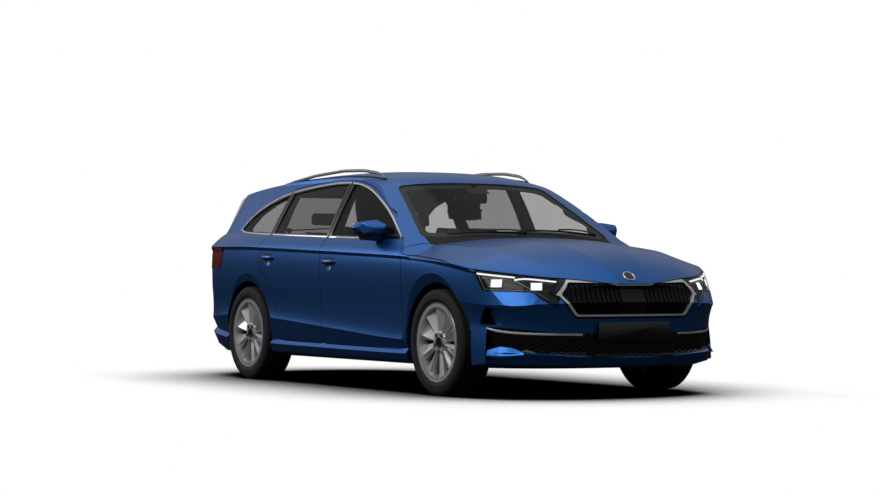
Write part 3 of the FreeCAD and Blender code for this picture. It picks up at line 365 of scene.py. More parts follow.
# %% [markdown]
# ## Trim, rubber, plastic and metal
# The other finishes differ in their numbers. Rolled metal stretches its grain along one direction; rubber and soft
# plastic have a coarser bump and nearly no shine.

# %% Other finishes
black_gloss = finish("black_gloss", (0.006, 0.006, 0.007), roughness=0.22, coat=0.5, grain=300, bump=0.02)
underbody_black = finish("underbody_black", (0.008, 0.008, 0.009), roughness=0.75, grain=60, spread=0.3, bump=0.5)
chassis_steel = finish("chassis_steel", (0.03, 0.03, 0.032), metallic=0.5, roughness=0.55, grain=90, spread=0.35,
                       bump=0.4)
engine_iron = finish("engine_iron", (0.16, 0.16, 0.165), metallic=0.8, roughness=0.5, grain=70, spread=0.3, bump=0.6)
cabin_black = finish("cabin_black", (0.014, 0.014, 0.015), roughness=0.6, grain=420, spread=0.25, bump=0.35)
rail_silver = finish("rail_silver", (0.28, 0.27, 0.28), metallic=0.45, roughness=0.35, grain=220, spread=0.08,
                     bump=0.05, stretch=(0.04, 1, 1))
bright_trim, frame_trim = (finish(name, (0.88, 0.89, 0.90), metallic=0.35, roughness=0.12, grain=40, spread=0.03,
                                  bump=0.01) for name in ("bright_trim", "frame_trim"))
tyre_rubber = finish("tyre_rubber", (0.010, 0.010, 0.010), roughness=0.72, grain=160, spread=0.3, bump=0.3)
lamp_red = finish("lamp_red", (0.30, 0.006, 0.004), roughness=0.12, coat=1.0, grain=60, spread=0.2, bump=0.02)
lamp_lens = pane("lamp_lens", (0.02, 0.022, 0.025), 0.30)
wheel_silver = finish("wheel_silver", (0.74, 0.74, 0.76), metallic=0.5, roughness=0.32, coat=0.3, grain=500,
                      spread=0.06, bump=0.03)

# %% [markdown]
# Some pieces have two finishes, divided by a place on the piece. A wheel's face is painted silver, and the metal
# behind the spokes' faces is near black with painted shade. A door mirror is a painted cap on a black base.

# %% Wheel and mirror
WHEEL_DEEP, WHEEL_FACE = 0.800, 0.816     # distances from the car's middle
MIRROR_BASE = 1.018                       # the height where the cap begins
tree = wheel_silver.node_tree
# painted shade: the metal deeper than the spokes' faces is coloured near black
painted_recess_shade = between(tree, maths(tree, "ABSOLUTE", own_place(tree)[1]), WHEEL_DEEP, WHEEL_FACE, 1, 0)
recolour(wheel_silver, painted_recess_shade, (0.012, 0.012, 0.013), roughness=0.6)
mirror_paint = body_colour("mirror_paint")
tree = mirror_paint.node_tree
low = maths(tree, "LESS_THAN", own_place(tree)[2], MIRROR_BASE)
recolour(mirror_paint, low, (0.005, 0.005, 0.006), roughness=0.35, metallic=0.0)

# %% [markdown]
# The grille's bright frame is a fine line: outside it, towards the lamps, the moulding is gloss black. The line
# follows the frame's slanted upper edge, so the distance from that edge decides. The slats are a duller black.

# %% Grille finishes
EDGE_TIP, EDGE_TURN = (0.495, 0.631), (0.424, 0.704)     # half width and height of the frame's slanted edge
EDGE_LINE = 0.013
tree = frame_trim.node_tree
_, y, z = own_place(tree)
length = math.dist(EDGE_TIP, EDGE_TURN)
outward = ((EDGE_TURN[1] - EDGE_TIP[1]) / length, (EDGE_TIP[0] - EDGE_TURN[0]) / length)
beyond = maths(tree, "ADD", maths(tree, "MULTIPLY", maths(tree, "ABSOLUTE", y), outward[0]),
               maths(tree, "MULTIPLY", z, outward[1]))
reach = EDGE_TIP[0] * outward[0] + EDGE_TIP[1] * outward[1] + EDGE_LINE
recolour(frame_trim, maths(tree, "GREATER_THAN", beyond, reach), (0.006, 0.006, 0.007), roughness=0.25, metallic=0.0)
slat_black = finish("slat_black", (0.003, 0.003, 0.0035), roughness=0.4, coat=0.1, specular=0.25, grain=300,
                    bump=0.02)

# %% [markdown]
# ## Cloth
# The seats wear a woven cloth. Two bands of threads cross each other: each is a wave along its own direction, and
# the higher one is on top.

# %% Cloth


def woven(name, colour, threads=620.0):
    material = finish(name, colour, roughness=0.9, specular=0.2, grain=45, spread=0.25, bump=0.0)
    tree, shader = parts_of(material)
    place = node(tree, "TexCoord").outputs["Object"]
    waves = []
    for turn in ((0, 0, math.pi / 4), (0, math.pi / 2, -math.pi / 4)):
        turned = node(tree, "Mapping", None, Vector=place, Rotation=turn).outputs[0]
        waves.append(node(tree, "TexWave", None, Vector=turned, Scale=threads / 6, Distortion=0.6,
                          Detail=2.0).outputs["Fac"])
    weave = maths(tree, "MAXIMUM", waves[0], waves[1])
    before = shader.inputs["Base Color"].links[0].from_socket
    tree.links.new(blended(tree, between(tree, weave, 0.2, 1.0), (*[c * 0.55 for c in colour], 1), before),
                   shader.inputs["Base Color"])
    raised = node(tree, "Bump", None, Strength=0.5, Distance=0.0008, Height=weave)
    tree.links.new(raised.outputs[0], shader.inputs["Normal"])
    shader.inputs["Sheen Weight"].default_value = 0.25
    return material


seat_cloth = woven("seat_cloth", (0.030, 0.030, 0.032))

# %% [markdown]
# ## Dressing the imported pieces
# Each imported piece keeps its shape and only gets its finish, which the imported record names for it.

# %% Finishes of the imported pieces
PIECE_FINISH = {
    "body_paint": paint, "grille_black": black_gloss, "underbody": underbody_black, "lamp_clear": lamp_lens,
    "lamp_red": lamp_red, "chassis_steel": chassis_steel, "seat_cloth": seat_cloth, "cabin_plastic": cabin_black,
    "engine_iron": engine_iron, "rail_silver": rail_silver, "clear_glass": clear_glass, "dark_glass": dark_glass,
    "tyre_rubber": tyre_rubber, "alloy": wheel_silver, "bright_trim": bright_trim,
}
slots = {entry["node"]: entry["material_slot"] for entry in frame["record"]["subparts"]}
for name, piece in nodes.items():
    wear(piece, PIECE_FINISH[slots[name]])
for hand in ("right", "left"):
    for name in ("door_front_", "door_rear_", "body_side_"):
        wear(nodes[name + hand], side_paint)
    wear(nodes["mirror_" + hand], mirror_paint)
wear(nodes["grille_frame"], frame_trim)
wear(nodes["grille"], slat_black)
wear(nodes["roof"], roof_paint)
wear(nodes["tailgate"], gate_paint)
print("dressed", len(slots), "packed pieces")

# %% [markdown]
# ## Laying pieces on the body
# Small trim has to follow the body's curves exactly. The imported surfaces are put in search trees, and a point is
# found on them by casting a ray, as a finger is laid on a panel from outside. One maker sweeps a section along a line
# of such points, for strips and bars, and another lays a flat sheet on the surface and thickens it.

# %% Makers


def surface_of(*names):
    """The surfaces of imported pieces, to be searched with rays."""
    joined = bmesh.new()
    for name in names:
        joined.from_mesh(nodes[name].data)
    tree = BVHTree.FromBMesh(joined)
    joined.free()
    return tree


def piece(name, bm, body, slot, *materials, sharp=35):
    """Turns a finished mesh into a piece of the car that moves with one of its bodies."""
    bmesh.ops.recalc_face_normals(bm, faces=bm.faces)
    mesh = bpy.data.meshes.new(name)
    bm.to_mesh(mesh)
    bm.free()
    mesh.shade_smooth()
    mesh.set_sharp_from_angle(angle=math.radians(sharp))
    made = bpy.data.objects.new(name, mesh)
    scene.collection.objects.link(made)
    wear(made, *materials)
    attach(made, body)
    return made


def at(value, i):
    """The value for point i, where one is given for each point or one for all."""
    return value[i] if isinstance(value, list) else value


def sweep(bm, path, outward, width, height, sides=8):
    """A bar along a path. Its width lies along the surface and its height stands up from it."""
    section = bmesh.ops.create_circle(bm, segments=sides, radius=0.5)["verts"]
    if sides == 4:
        bmesh.ops.rotate(bm, verts=section, matrix=Matrix.Rotation(math.pi / 4, 3, "Z"))
        bmesh.ops.scale(bm, verts=section, vec=(math.sqrt(2), math.sqrt(2), 1))
    last = Matrix.Identity(4)
    first = edges = list({edge for vert in section for edge in vert.link_edges})
    for i, point in enumerate(path):
        ahead = (path[min(i + 1, len(path) - 1)] - path[max(i - 1, 0)]).normalized()
        up = (at(outward, i) - ahead * at(outward, i).dot(ahead)).normalized()
        turn = Matrix((up.cross(ahead) * at(width, i), up * at(height, i), ahead)).transposed()
        place = Matrix.Translation(point) @ turn.to_4x4()
        if i:
            grown = bmesh.ops.extrude_edge_only(bm, edges=edges)["geom"]
            section = [g for g in grown if isinstance(g, bmesh.types.BMVert)]
            edges = [g for g in grown if isinstance(g, bmesh.types.BMEdge)]
        bmesh.ops.transform(bm, matrix=place @ last.inverted(), verts=section)
        last = place
    for rim in (first, edges):
        bmesh.ops.contextual_create(bm, geom=rim)


def bar(name, path, outward, width, height, body, slot, material, sides=8):
    """A piece that is one swept bar."""
    bm = bmesh.new()
    sweep(bm, path, outward, width, height, sides)
    return piece(name, bm, body, slot, material)


def lay(verts, tree, aim, lift, far=3.0):
    """Moves each point along aim onto the surface, and lift further out."""
    for vert in verts:
        found = tree.ray_cast(vert.co - aim * far, aim)[0]
        if found is None:
            found = tree.find_nearest(vert.co)[0]
        vert.co = found - aim * lift


def sheet(name, segments, point_at, thick, body, slot, material, laid=None):
    """A thin sheet. Each point's place comes from its shares across and up, and laid is what it is pushed on to."""
    bm = bmesh.new()
    verts = bmesh.ops.create_grid(bm, x_segments=segments[0], y_segments=segments[1], size=0.5)["verts"]
    for vert in verts:
        vert.co = point_at(vert.co.x + 0.5, vert.co.y + 0.5)
    if laid:
        lay(verts, *laid)
    bmesh.ops.solidify(bm, geom=list(bm.faces), thickness=thick)
    return piece(name, bm, body, slot, material)


def block(bm, size, bevel, segments):
    """A box with rounded edges round the origin."""
    bmesh.ops.create_cube(bm, size=1)
    bmesh.ops.scale(bm, verts=bm.verts, vec=size)
    bmesh.ops.bevel(bm, geom=list(bm.edges), offset=bevel, segments=segments, profile=0.5, affect="EDGES", material=-1)


def rounded(points, rounds=2):
    """The line with its corners cut again and again until it runs in a curve; its ends stay."""
    for _ in range(rounds):
        cut = [points[0]]
        for a, b in zip(points, points[1:]):
            cut += [a.lerp(b, 0.25), a.lerp(b, 0.75)]
        points = cut + [points[-1]]
    return points


def evenly(points, step):
    """The same line with a point every step."""
    out, carried = [points[0]], 0.0
    for a, b in zip(points, points[1:]):
        length = (b - a).length
        along = step - carried
        while along <= length:
            out.append(a.lerp(b, along / length))
            along += step
        carried = (carried + length) % step if length else carried
    return out


def averaged(points, reach):
    """The line with each point moved to the middle of its neighbours up to reach points away."""
    near = [points[max(k - reach, 0):k + reach + 1] for k in range(len(points))]
    return [sum(some, Vector()) / len(some) for some in near]


sides = {"right": -1, "left": 1}
REARWARD, FORWARD, UPWARD, ACROSS = Vector((-1, 0, 0)), Vector((1, 0, 0)), Vector((0, 0, 1)), Vector((0, 1, 0))
print("makers ready for", len(sides), "sides")

# %% [markdown]
# ## The bright line round the side windows
# A thin polished strip frames all the side glass in one line. The whole line is traced on the body once, and each run
# of points that lies on one door or on the body becomes that piece's strip, so that the doors carry their share.

# %% Window line
LINE_WIDTH, LINE_HEIGHT = 0.014, 0.007
WINDOW_LINE = [(0.945, 0.983), (0.367, 0.986), (-0.135, 1.006), (-1.359, 1.043), (-1.546, 1.067), (-1.546, 1.088),
               (-1.443, 1.186), (-1.250, 1.267), (-0.995, 1.325), (-0.600, 1.362), (-0.190, 1.378), (0.080, 1.358),
               (0.312, 1.303), (0.697, 1.146), (0.945, 0.984)]


def traced(points, trees, sign):
    """Points on the outermost of several bodies' surfaces, with the body and the surface's direction."""
    found = []
    for point in points:
        best = None
        for body, tree in trees:
            spot, normal, _, far = tree.ray_cast(Vector((point.x, sign * 2, point.z)), ACROSS * -sign)
            if spot is not None and (best is None or far < best[3]):
                best = (body, spot, normal, far)
        if best and not (found and abs(best[3] - found[-1][3]) > 0.02):
            found.append(best)
    return found


for hand, sign in sides.items():
    trees = [(body, surface_of(body)) for body in ("door_front_" + hand, "door_rear_" + hand)]
    trees.append(("root", surface_of("body_side_" + hand)))
    points = evenly(rounded([Vector((x, 0, z)) for x, z in WINDOW_LINE]), 0.010)
    runs = []
    for body, spot, normal, _ in traced(points, trees, sign):
        if not runs or runs[-1][0] != body:
            runs.append((body, [], []))
        runs[-1][1].append(spot)
        runs[-1][2].append(normal)
    for number, (body, path, normals) in enumerate(run for run in runs if len(run[1]) > 3):
        outward = [sum(normals[max(i - 4, 0):i + 5], Vector()) for i in range(len(path))]
        bar(f"window_line_{hand}_{number}", path, outward, LINE_WIDTH, LINE_HEIGHT, body, "bright_trim", bright_trim)
print("window line in", number + 1, "runs a side")

# %% [markdown]
# ## Door handles
# Each handle is a bar across a cup pressed into the door. It stands off the skin so that a hand fits behind it, and
# bows outwards: its ends turn back into the door.

# %% Handles
HANDLE_LENGTH, HANDLE_FEET, HANDLE_STEPS = 0.205, 0.12, 24
HANDLE_PLACES = (("front", 0.072, 0.835), ("rear", -0.857, 0.868))
shares = [i / HANDLE_STEPS * 2 - 1 for i in range(HANDLE_STEPS + 1)]
for hand, sign in sides.items():
    for where, x, z in HANDLE_PLACES:
        tree = surface_of(f"door_{where}_{hand}")
        feet = [tree.ray_cast(Vector((x + e * HANDLE_FEET, sign * 2, z)), ACROSS * -sign)[0] for e in (-1, 1)]
        path = []
        for t in shares:
            base = feet[0].lerp(feet[1], (t * HANDLE_LENGTH / 2 + HANDLE_FEET) / (2 * HANDLE_FEET))
            path.append(base + ACROSS * sign * (0.027 * (1 - abs(t) ** 3.5) - 0.010))
        wide = [0.026 - 0.006 * abs(t) ** 3 for t in shares]
        bar(f"handle_{where}_{hand}", path, Vector((0, sign, 0.25)), wide, 0.015, f"door_{where}_{hand}", "body_paint",
            paint, sides=12)
print("handles", HANDLE_LENGTH, "m long")

# %% [markdown]
# ## Bumper strips, plate and badge place
# A slim bright strip runs from each side of the number plate to the bumper's corner, where it turns up. The plate is
# a plain black board on the bumper, and the badge place on the bonnet's nose is a bare dark disc with a bright rim.

# %% Bumper strips
front = surface_of("front_bumper", "grille", "bonnet", "grille_frame")
STRIP = [(0.262, 0.390), (0.45, 0.392), (0.62, 0.398), (0.72, 0.409), (0.775, 0.421), (0.812, 0.434)]
for hand, sign in sides.items():
    found, outward = [], []
    for point in evenly(rounded([Vector((0, sign * y, z)) for y, z in STRIP], 3), 0.012):
        aim = Vector((-1, -sign * (0.2 + abs(point.y) * 0.6), 0)).normalized()
        start = point + Vector((2.2 - 0.35 * abs(point.y), 0, 0)) - aim
        found.append(front.ray_cast(start, aim)[0])
        outward.append(Vector((1, sign * abs(point.y), 0)).normalized())
    path = [spot + away * 0.004 for spot, away in zip(averaged(found, 3), outward)]
    wide = [0.012 + 0.004 * min(1, (len(path) - 1 - i) / 8) for i in range(len(path))]
    bar("bumper_strip_" + hand, path, outward, wide, 0.010, "root", "bright_trim", bright_trim)
print("strip points", len(path))

# %% Plates
plate_black = finish("plate_black", (0.004, 0.004, 0.005), roughness=0.32, coat=0.3, grain=400, spread=0.2, bump=0.03)
PLATE_LENGTH, PLATE_HEIGHT, PLATE_THICK = 0.524, 0.112, 0.008
for name, sign, height in (("front_plate", 1, 0.406), ("rear_plate", -1, 0.720)):
    tree = front if sign > 0 else surface_of("tailgate")
    spots = [tree.ray_cast(Vector((sign * 4, y, height + h)), REARWARD * sign)[0]
             for y in (-0.24, 0, 0.24) for h in (-0.045, 0.045)]
    outermost = max(abs(spot.x) for spot in spots) + PLATE_THICK / 2
    bm = bmesh.new()
    bmesh.ops.create_cube(bm, size=1)
    bmesh.ops.scale(bm, verts=bm.verts, vec=(PLATE_THICK, PLATE_LENGTH, PLATE_HEIGHT))
    corners = [e for e in bm.edges if abs(e.verts[0].co.x - e.verts[1].co.x) > 0.001]
    bmesh.ops.bevel(bm, geom=corners, offset=0.009, segments=4, profile=0.5, affect="EDGES", material=-1)
    bmesh.ops.bevel(bm, geom=list(bm.edges), offset=0.0012, segments=2, profile=0.5, affect="EDGES", material=-1)
    bmesh.ops.translate(bm, verts=bm.verts, vec=(sign * outermost, 0, height))
    piece(name, bm, "root" if sign > 0 else "tailgate", "grille_black", plate_black)
print("plates", PLATE_LENGTH, "x", PLATE_HEIGHT)

# %% Badge place
BADGE_HEIGHT, BADGE_RADIUS, RING_RADIUS = 0.738, 0.040, 0.004
spot, normal, _, _ = surface_of("bonnet").ray_cast(Vector((4, 0, BADGE_HEIGHT)), REARWARD)
stand = Matrix.Translation(spot) @ normal.to_track_quat("Z", "Y").to_matrix().to_4x4()
bm = bmesh.new()
bmesh.ops.create_uvsphere(bm, u_segments=40, v_segments=20, radius=BADGE_RADIUS - RING_RADIUS)
bmesh.ops.scale(bm, verts=bm.verts, vec=(1, 1, 0.16))
bmesh.ops.transform(bm, matrix=stand, verts=bm.verts)
piece("badge_disc", bm, "bonnet", "grille_black", black_gloss)
bm = bmesh.new()
section = bmesh.ops.create_circle(bm, segments=10, radius=RING_RADIUS)["verts"]
bmesh.ops.rotate(bm, verts=section, matrix=Matrix.Rotation(math.pi / 2, 3, "X"))
bmesh.ops.translate(bm, verts=section, vec=(BADGE_RADIUS - 0.003, 0, 0.002))
bmesh.ops.spin(bm, geom=list(bm.edges), angle=2 * math.pi, steps=48, axis=(0, 0, 1), use_merge=True)
bmesh.ops.remove_doubles(bm, verts=bm.verts, dist=0.00001)
bmesh.ops.transform(bm, matrix=stand, verts=bm.verts)
piece("badge_ring", bm, "bonnet", "bright_trim", bright_trim)
print("badge place at", [round(c, 3) for c in spot])

# %% [markdown]
# ## Headlamps
# A modern headlamp is a clear cover over a dark housing. In the housing sit two square light units, a day-running
# bar along the top that breaks in the middle, and a fine bright line along the rear and lower edge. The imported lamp
# is a solid block of the cover's shape, so the parts are placed inside it at their own depths under the surface:
# each is laid out on a slanted drawing plane that faces the corner of the car and pushed back onto the lamp.

# %% Lamp finishes


def lit(name, colour, strength):
    """A finish that shines by itself."""
    material = finish(name, colour, roughness=0.25, grain=200, spread=0.04, bump=0.05)
    shader = parts_of(material)[1]
    shader.inputs["Emission Color"].default_value = (*colour, 1)
    shader.inputs["Emission Strength"].default_value = strength
    return material


day_light = lit("day_light", (1.0, 1.0, 0.98), 1.1)
lamp_light = lit("lamp_light", (0.72, 1.0, 0.95), 2.6)
housing_black = finish("housing_black", (0.016, 0.016, 0.018), roughness=0.35, grain=260, spread=0.3, bump=0.15)
lamp_silver = finish("lamp_silver", (0.42, 0.42, 0.44), metallic=0.5, roughness=0.25, grain=200, spread=0.1,
                     bump=0.05)

# %% Headlamp parts
HOUSING_DEPTH, UNIT_DEPTH = 0.023, 0.016
HOUSING_MIDDLE, HOUSING_SIZE = Vector((0.985, 0.662)), Vector((0.62, 0.27))
UNIT_SIZE, UNIT_PLACES = (0.078, 0.060, 0.014), ((0.871, 0.694), (1.114, 0.674))
LAMP_BARS = {     # corners as (s, z), then depth, width, height and finish
    "day_bar_rear": ([(0.742, 0.755), (0.860, 0.742), (0.982, 0.730)], 0.006, 0.012, 0.006, day_light),
    "day_bar_front": ([(0.979, 0.715), (1.020, 0.722), (1.060, 0.722), (1.150, 0.713), (1.236, 0.703)],
                      0.006, 0.012, 0.006, day_light),
    "lamp_edge": ([(0.752, 0.742), (0.773, 0.708), (0.792, 0.664), (0.800, 0.659), (0.960, 0.653), (1.090, 0.650),
                   (1.130, 0.634), (1.196, 0.596)], 0.006, 0.0045, 0.004, lamp_silver),
    "lamp_diagonal": ([(0.983, 0.712), (1.040, 0.682), (1.096, 0.651)], 0.010, 0.006, 0.004, lamp_silver),
}
lamps = surface_of("headlamps")


def lamp_spot(sign, s, z, depth):
    """A point under the lamp's surface: s runs across the slanted drawing plane and z is the height."""
    aim = Vector((-1, -sign, 0)).normalized()
    across = Vector((1, -sign, 0)).normalized()
    spot, normal, _, _ = lamps.ray_cast(across * s + UPWARD * z - aim * 3, aim)
    return (spot + aim * depth if spot else None), normal


for hand, sign in sides.items():
    bm = bmesh.new()
    missed = []
    for vert in bmesh.ops.create_grid(bm, x_segments=90, y_segments=40, size=0.5)["verts"]:
        s, z = (HOUSING_MIDDLE[k] + vert.co[k] * HOUSING_SIZE[k] for k in (0, 1))
        spot = lamp_spot(sign, s, z, HOUSING_DEPTH)[0]
        if spot is None:
            missed.append(vert)
        else:
            vert.co = spot
    bmesh.ops.delete(bm, geom=missed, context="VERTS")
    bmesh.ops.solidify(bm, geom=list(bm.faces), thickness=0.002)
    piece("lamp_housing_" + hand, bm, "root", "lamp_clear", housing_black)
    for name, (corners, depth, width, height, material) in LAMP_BARS.items():
        line = evenly(rounded([Vector((s, 0, z)) for s, z in corners]), 0.010)
        spots = [spot for spot in (lamp_spot(sign, p.x, p.z, depth) for p in line) if spot[0]]
        bar(f"{name}_{hand}", [s for s, _ in spots], [n for _, n in spots], width, height, "root", "lamp_clear",
            material)
    for number, (s, z) in enumerate(UNIT_PLACES):
        middle, normal = lamp_spot(sign, s, z, UNIT_DEPTH)
        bm = bmesh.new()
        block(bm, UNIT_SIZE, 0.004, 3)
        bm.normal_update()
        panes = [face for face in bm.faces if face.calc_area() > 0.002 and abs(face.normal.z) > 0.9]
        bmesh.ops.inset_individual(bm, faces=panes, thickness=0.004, depth=0.0)
        bmesh.ops.inset_individual(bm, faces=panes, thickness=0.001, depth=-0.002)
        for face in panes:
            face.material_index = 1
        stand = Matrix.Translation(middle) @ normal.to_track_quat("Z", "Y").to_matrix().to_4x4()
        bmesh.ops.transform(bm, matrix=stand, verts=bm.verts)
        piece(f"light_unit_{number}_{hand}", bm, "root", "lamp_clear", lamp_silver, lamp_light)
print("light units", 2 * len(UNIT_PLACES))

# %% [markdown]
# ## The mesh of the lower intake
# The intake is closed by a moulded lattice of lozenges. A grid turned by half a right angle gives the lozenges; it
# is trimmed to the opening, each face is inset and its middle taken out, and what is left is laid on the intake's
# back and thickened.

# %% Lower mesh
MESH_HALF, MESH_LOW, MESH_HIGH = 0.795, 0.262, 0.425
mesh_black = finish("mesh_black", (0.010, 0.010, 0.011), roughness=0.28, coat=0.4, grain=300, spread=0.2, bump=0.03)
upright = Matrix(((0, 0, 1, 0), (1, 0, 0, 0), (0, 1, 0, 0), (0, 0, 0, 1)))
bm = bmesh.new()
bmesh.ops.create_grid(bm, x_segments=56, y_segments=56, size=0.9)
bmesh.ops.rotate(bm, verts=bm.verts, matrix=Matrix.Rotation(math.pi / 4, 3, "Z"))
bmesh.ops.scale(bm, verts=bm.verts, vec=(1.15, 0.62, 1))
bmesh.ops.transform(bm, matrix=Matrix.Translation((2.3, 0, 0.345)) @ upright, verts=bm.verts)
for place, away in ((ACROSS * MESH_HALF, ACROSS), (ACROSS * -MESH_HALF, -ACROSS), (UPWARD * MESH_LOW, -UPWARD),
                    (UPWARD * MESH_HIGH, UPWARD)):
    bmesh.ops.bisect_plane(bm, geom=list(bm.verts) + list(bm.edges) + list(bm.faces), plane_co=place,
                           plane_no=away, clear_outer=True)
inner = list(bm.faces)
bmesh.ops.inset_individual(bm, faces=inner, thickness=0.0026)
bmesh.ops.delete(bm, geom=inner, context="FACES_ONLY")
bmesh.ops.delete(bm, geom=[e for e in bm.edges if not e.link_faces], context="EDGES")
lay(list(bm.verts), surface_of("grille"), REARWARD, 0.007)
bmesh.ops.solidify(bm, geom=list(bm.faces), thickness=0.004)
piece("lower_mesh", bm, "root", "grille_black", mesh_black)
print("lozenges", len(inner))

# %% [markdown]
# ## Windscreen border, mirror and wipers
# A windscreen has a black printed border that hides the glue and the edge of the roof lining: thin bands inside the
# glass, swept along its outline a little way in. The inside mirror hangs from the top of the glass, and the two
# wipers rest along its lower edge.

# %% Windscreen border
SCREEN_FOOT = Vector((1.130, 0, 0.987))
SCREEN_RISE = (Vector((0.440, 0, 1.362)) - SCREEN_FOOT).normalized()
SCREEN_FACE = Vector((SCREEN_RISE.z, 0, -SCREEN_RISE.x))
SCREEN_BANDS = {     # corners as (y, way up the glass), then the width
    "right": ([(-0.688, 0.135), (-0.544, 0.780)], 0.040),
    "left": ([(0.688, 0.135), (0.544, 0.780)], 0.040),
    "top": ([(-0.548, 0.768), (0, 0.770), (0.548, 0.768)], 0.070),
    "low": ([(-0.700, 0.136), (-0.430, 0.070), (0, 0.062), (0.430, 0.070), (0.700, 0.136)], 0.085),
    "mirror": ([(-0.001, 0.66), (0, 0.70), (0.001, 0.745)], 0.150),
}
BAND_LIFT = -0.0065
screen = surface_of("fixed_glass")


def on_screen(line, lift):
    """The line's points, given as y and way up the glass, on the windscreen and lifted off it."""
    found = []
    for point in line:
        start = SCREEN_FOOT + SCREEN_RISE * point.y + ACROSS * point.x + SCREEN_FACE * 0.5
        spot = screen.ray_cast(start, -SCREEN_FACE)[0]
        if spot:
            found.append(spot + SCREEN_FACE * lift)
    return found


black_print = finish("black_print", (0.004, 0.004, 0.005), roughness=0.4, grain=900, spread=0.2, bump=0.02)
for name, (corners, width) in SCREEN_BANDS.items():
    line = evenly(rounded([Vector((*corner, 0)) for corner in corners], 3), 0.015)
    bar("screen_border_" + name, on_screen(line, BAND_LIFT), SCREEN_FACE, width, 0.0012, "root", "grille_black",
        black_print, sides=4)
print("border bands", len(SCREEN_BANDS))

# %% Inside mirror and wipers
bm = bmesh.new()
block(bm, (0.045, 0.235, 0.070), 0.018, 5)
bmesh.ops.translate(bm, verts=bm.verts, vec=(0.430, 0, 1.262))
stem = bmesh.ops.create_cone(bm, segments=16, radius1=0.016, radius2=0.012, depth=0.075, cap_ends=True)["verts"]
bmesh.ops.translate(bm, verts=stem, vec=(0.452, 0, 1.312))
piece("inside_mirror", bm, "root", "cabin_plastic", cabin_black)

rubber_black = finish("rubber_black", (0.008, 0.008, 0.008), roughness=0.6, grain=350, spread=0.3, bump=0.2)
WIPERS = (((0.60, 0.100), (-0.02, 0.085)), ((0.02, 0.045), (-0.55, 0.090)))     # each blade's ends on the glass
for number, (start, end) in enumerate(WIPERS):
    blade = on_screen([Vector((*start, 0)).lerp(Vector((*end, 0)), i / 24) for i in range(25)], 0.012)
    arm = [spot + SCREEN_FACE * (0.012 + 0.010 * math.sin(math.pi * i / 12)) for i, spot in enumerate(blade[:13])]
    bm = bmesh.new()
    sweep(bm, blade, SCREEN_FACE, 0.012, 0.014, sides=6)
    sweep(bm, arm, SCREEN_FACE, 0.016, 0.008, sides=8)
    piece(f"wiper_{number}", bm, "root", "grille_black", rubber_black)
print("wipers", len(WIPERS))

# %% [markdown]
# ## Wheels and brakes
# A tyre has a bulged wall with fine rings, a rounded shoulder and a tread of blocks between grooves. Its section is
# drawn as a line and spun round the axle; then the faces of each tread row are inset and raised, which leaves the
# fine gaps between the blocks. The hub gets five bolts and a cap, and a brake disc with its caliper stands behind
# the spokes.

# %% Tyres
TYRE_WALL = [(0.095, 0.229), (0.097, 0.242), (0.104, 0.252), (0.1105, 0.262), (0.1115, 0.266), (0.1125, 0.268),
             (0.1125, 0.286), (0.1118, 0.288), (0.1122, 0.291), (0.1108, 0.305), (0.1070, 0.314), (0.1050, 0.3155),
             (0.1030, 0.3200), (0.0955, 0.3243)]
TREAD = [(0.0760, 0.3255), (0.0745, 0.3200), (0.0665, 0.3200), (0.0650, 0.3262), (0.0370, 0.3268), (0.0355, 0.3205),
         (0.0275, 0.3205), (0.0260, 0.3268), (0.0, 0.3270)]
TREAD_RADIUS, TREAD_HALF = 0.3235, 0.100
STEPS = 88


def spun(bm, line, sign, steps, closed=False):
    """Spins a line of (distance along the axle, radius) round the axle, with its outside facing out of the car."""
    verts = [bm.verts.new((along, 0, radius)) for along, radius in line]
    edges = [bm.edges.new(pair) for pair in zip(verts, verts[1:] + verts[:1] if closed else verts[1:])]
    bmesh.ops.spin(bm, geom=verts + edges, cent=(0, 0, 0), axis=(1, 0, 0), angle=2 * math.pi, steps=steps,
                   use_merge=True)
    bmesh.ops.remove_doubles(bm, verts=bm.verts, dist=0.00002)
    to_axle = Matrix(((0, 1, 0, 0), (sign, 0, 0, 0), (0, 0, 1, 0), (0, 0, 0, 1)))
    bmesh.ops.transform(bm, matrix=to_axle, verts=bm.verts)


wheel_middle = {}
for hand, sign in sides.items():
    for where in ("front", "rear"):
        wheel = f"{where}_{hand}"
        wheel_middle[where, hand] = sum(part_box("tyre_" + wheel), Vector()) / 2
        half = TYRE_WALL + TREAD
        bm = bmesh.new()
        spun(bm, half + [(-along, radius) for along, radius in reversed(half[:-1])], sign, STEPS, closed=True)
        blocks = []
        for face in bm.faces:
            spot = face.calc_center_median()
            if math.hypot(spot.x, spot.z) > TREAD_RADIUS and abs(face.normal.y) < 0.5 and abs(spot.y) < TREAD_HALF:
                blocks.append(face)
        bmesh.ops.recalc_face_normals(bm, faces=bm.faces)
        bmesh.ops.inset_individual(bm, faces=blocks, thickness=0.0014, depth=0.0030)
        bmesh.ops.translate(bm, verts=bm.verts, vec=wheel_middle[where, hand])
        tyre = piece("tyre_detail_" + wheel, bm, "wheel_" + wheel, "tyre_rubber", tyre_rubber, sharp=28)
        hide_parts("tyre_" + wheel)
print("tread blocks", len(blocks), "a tyre")

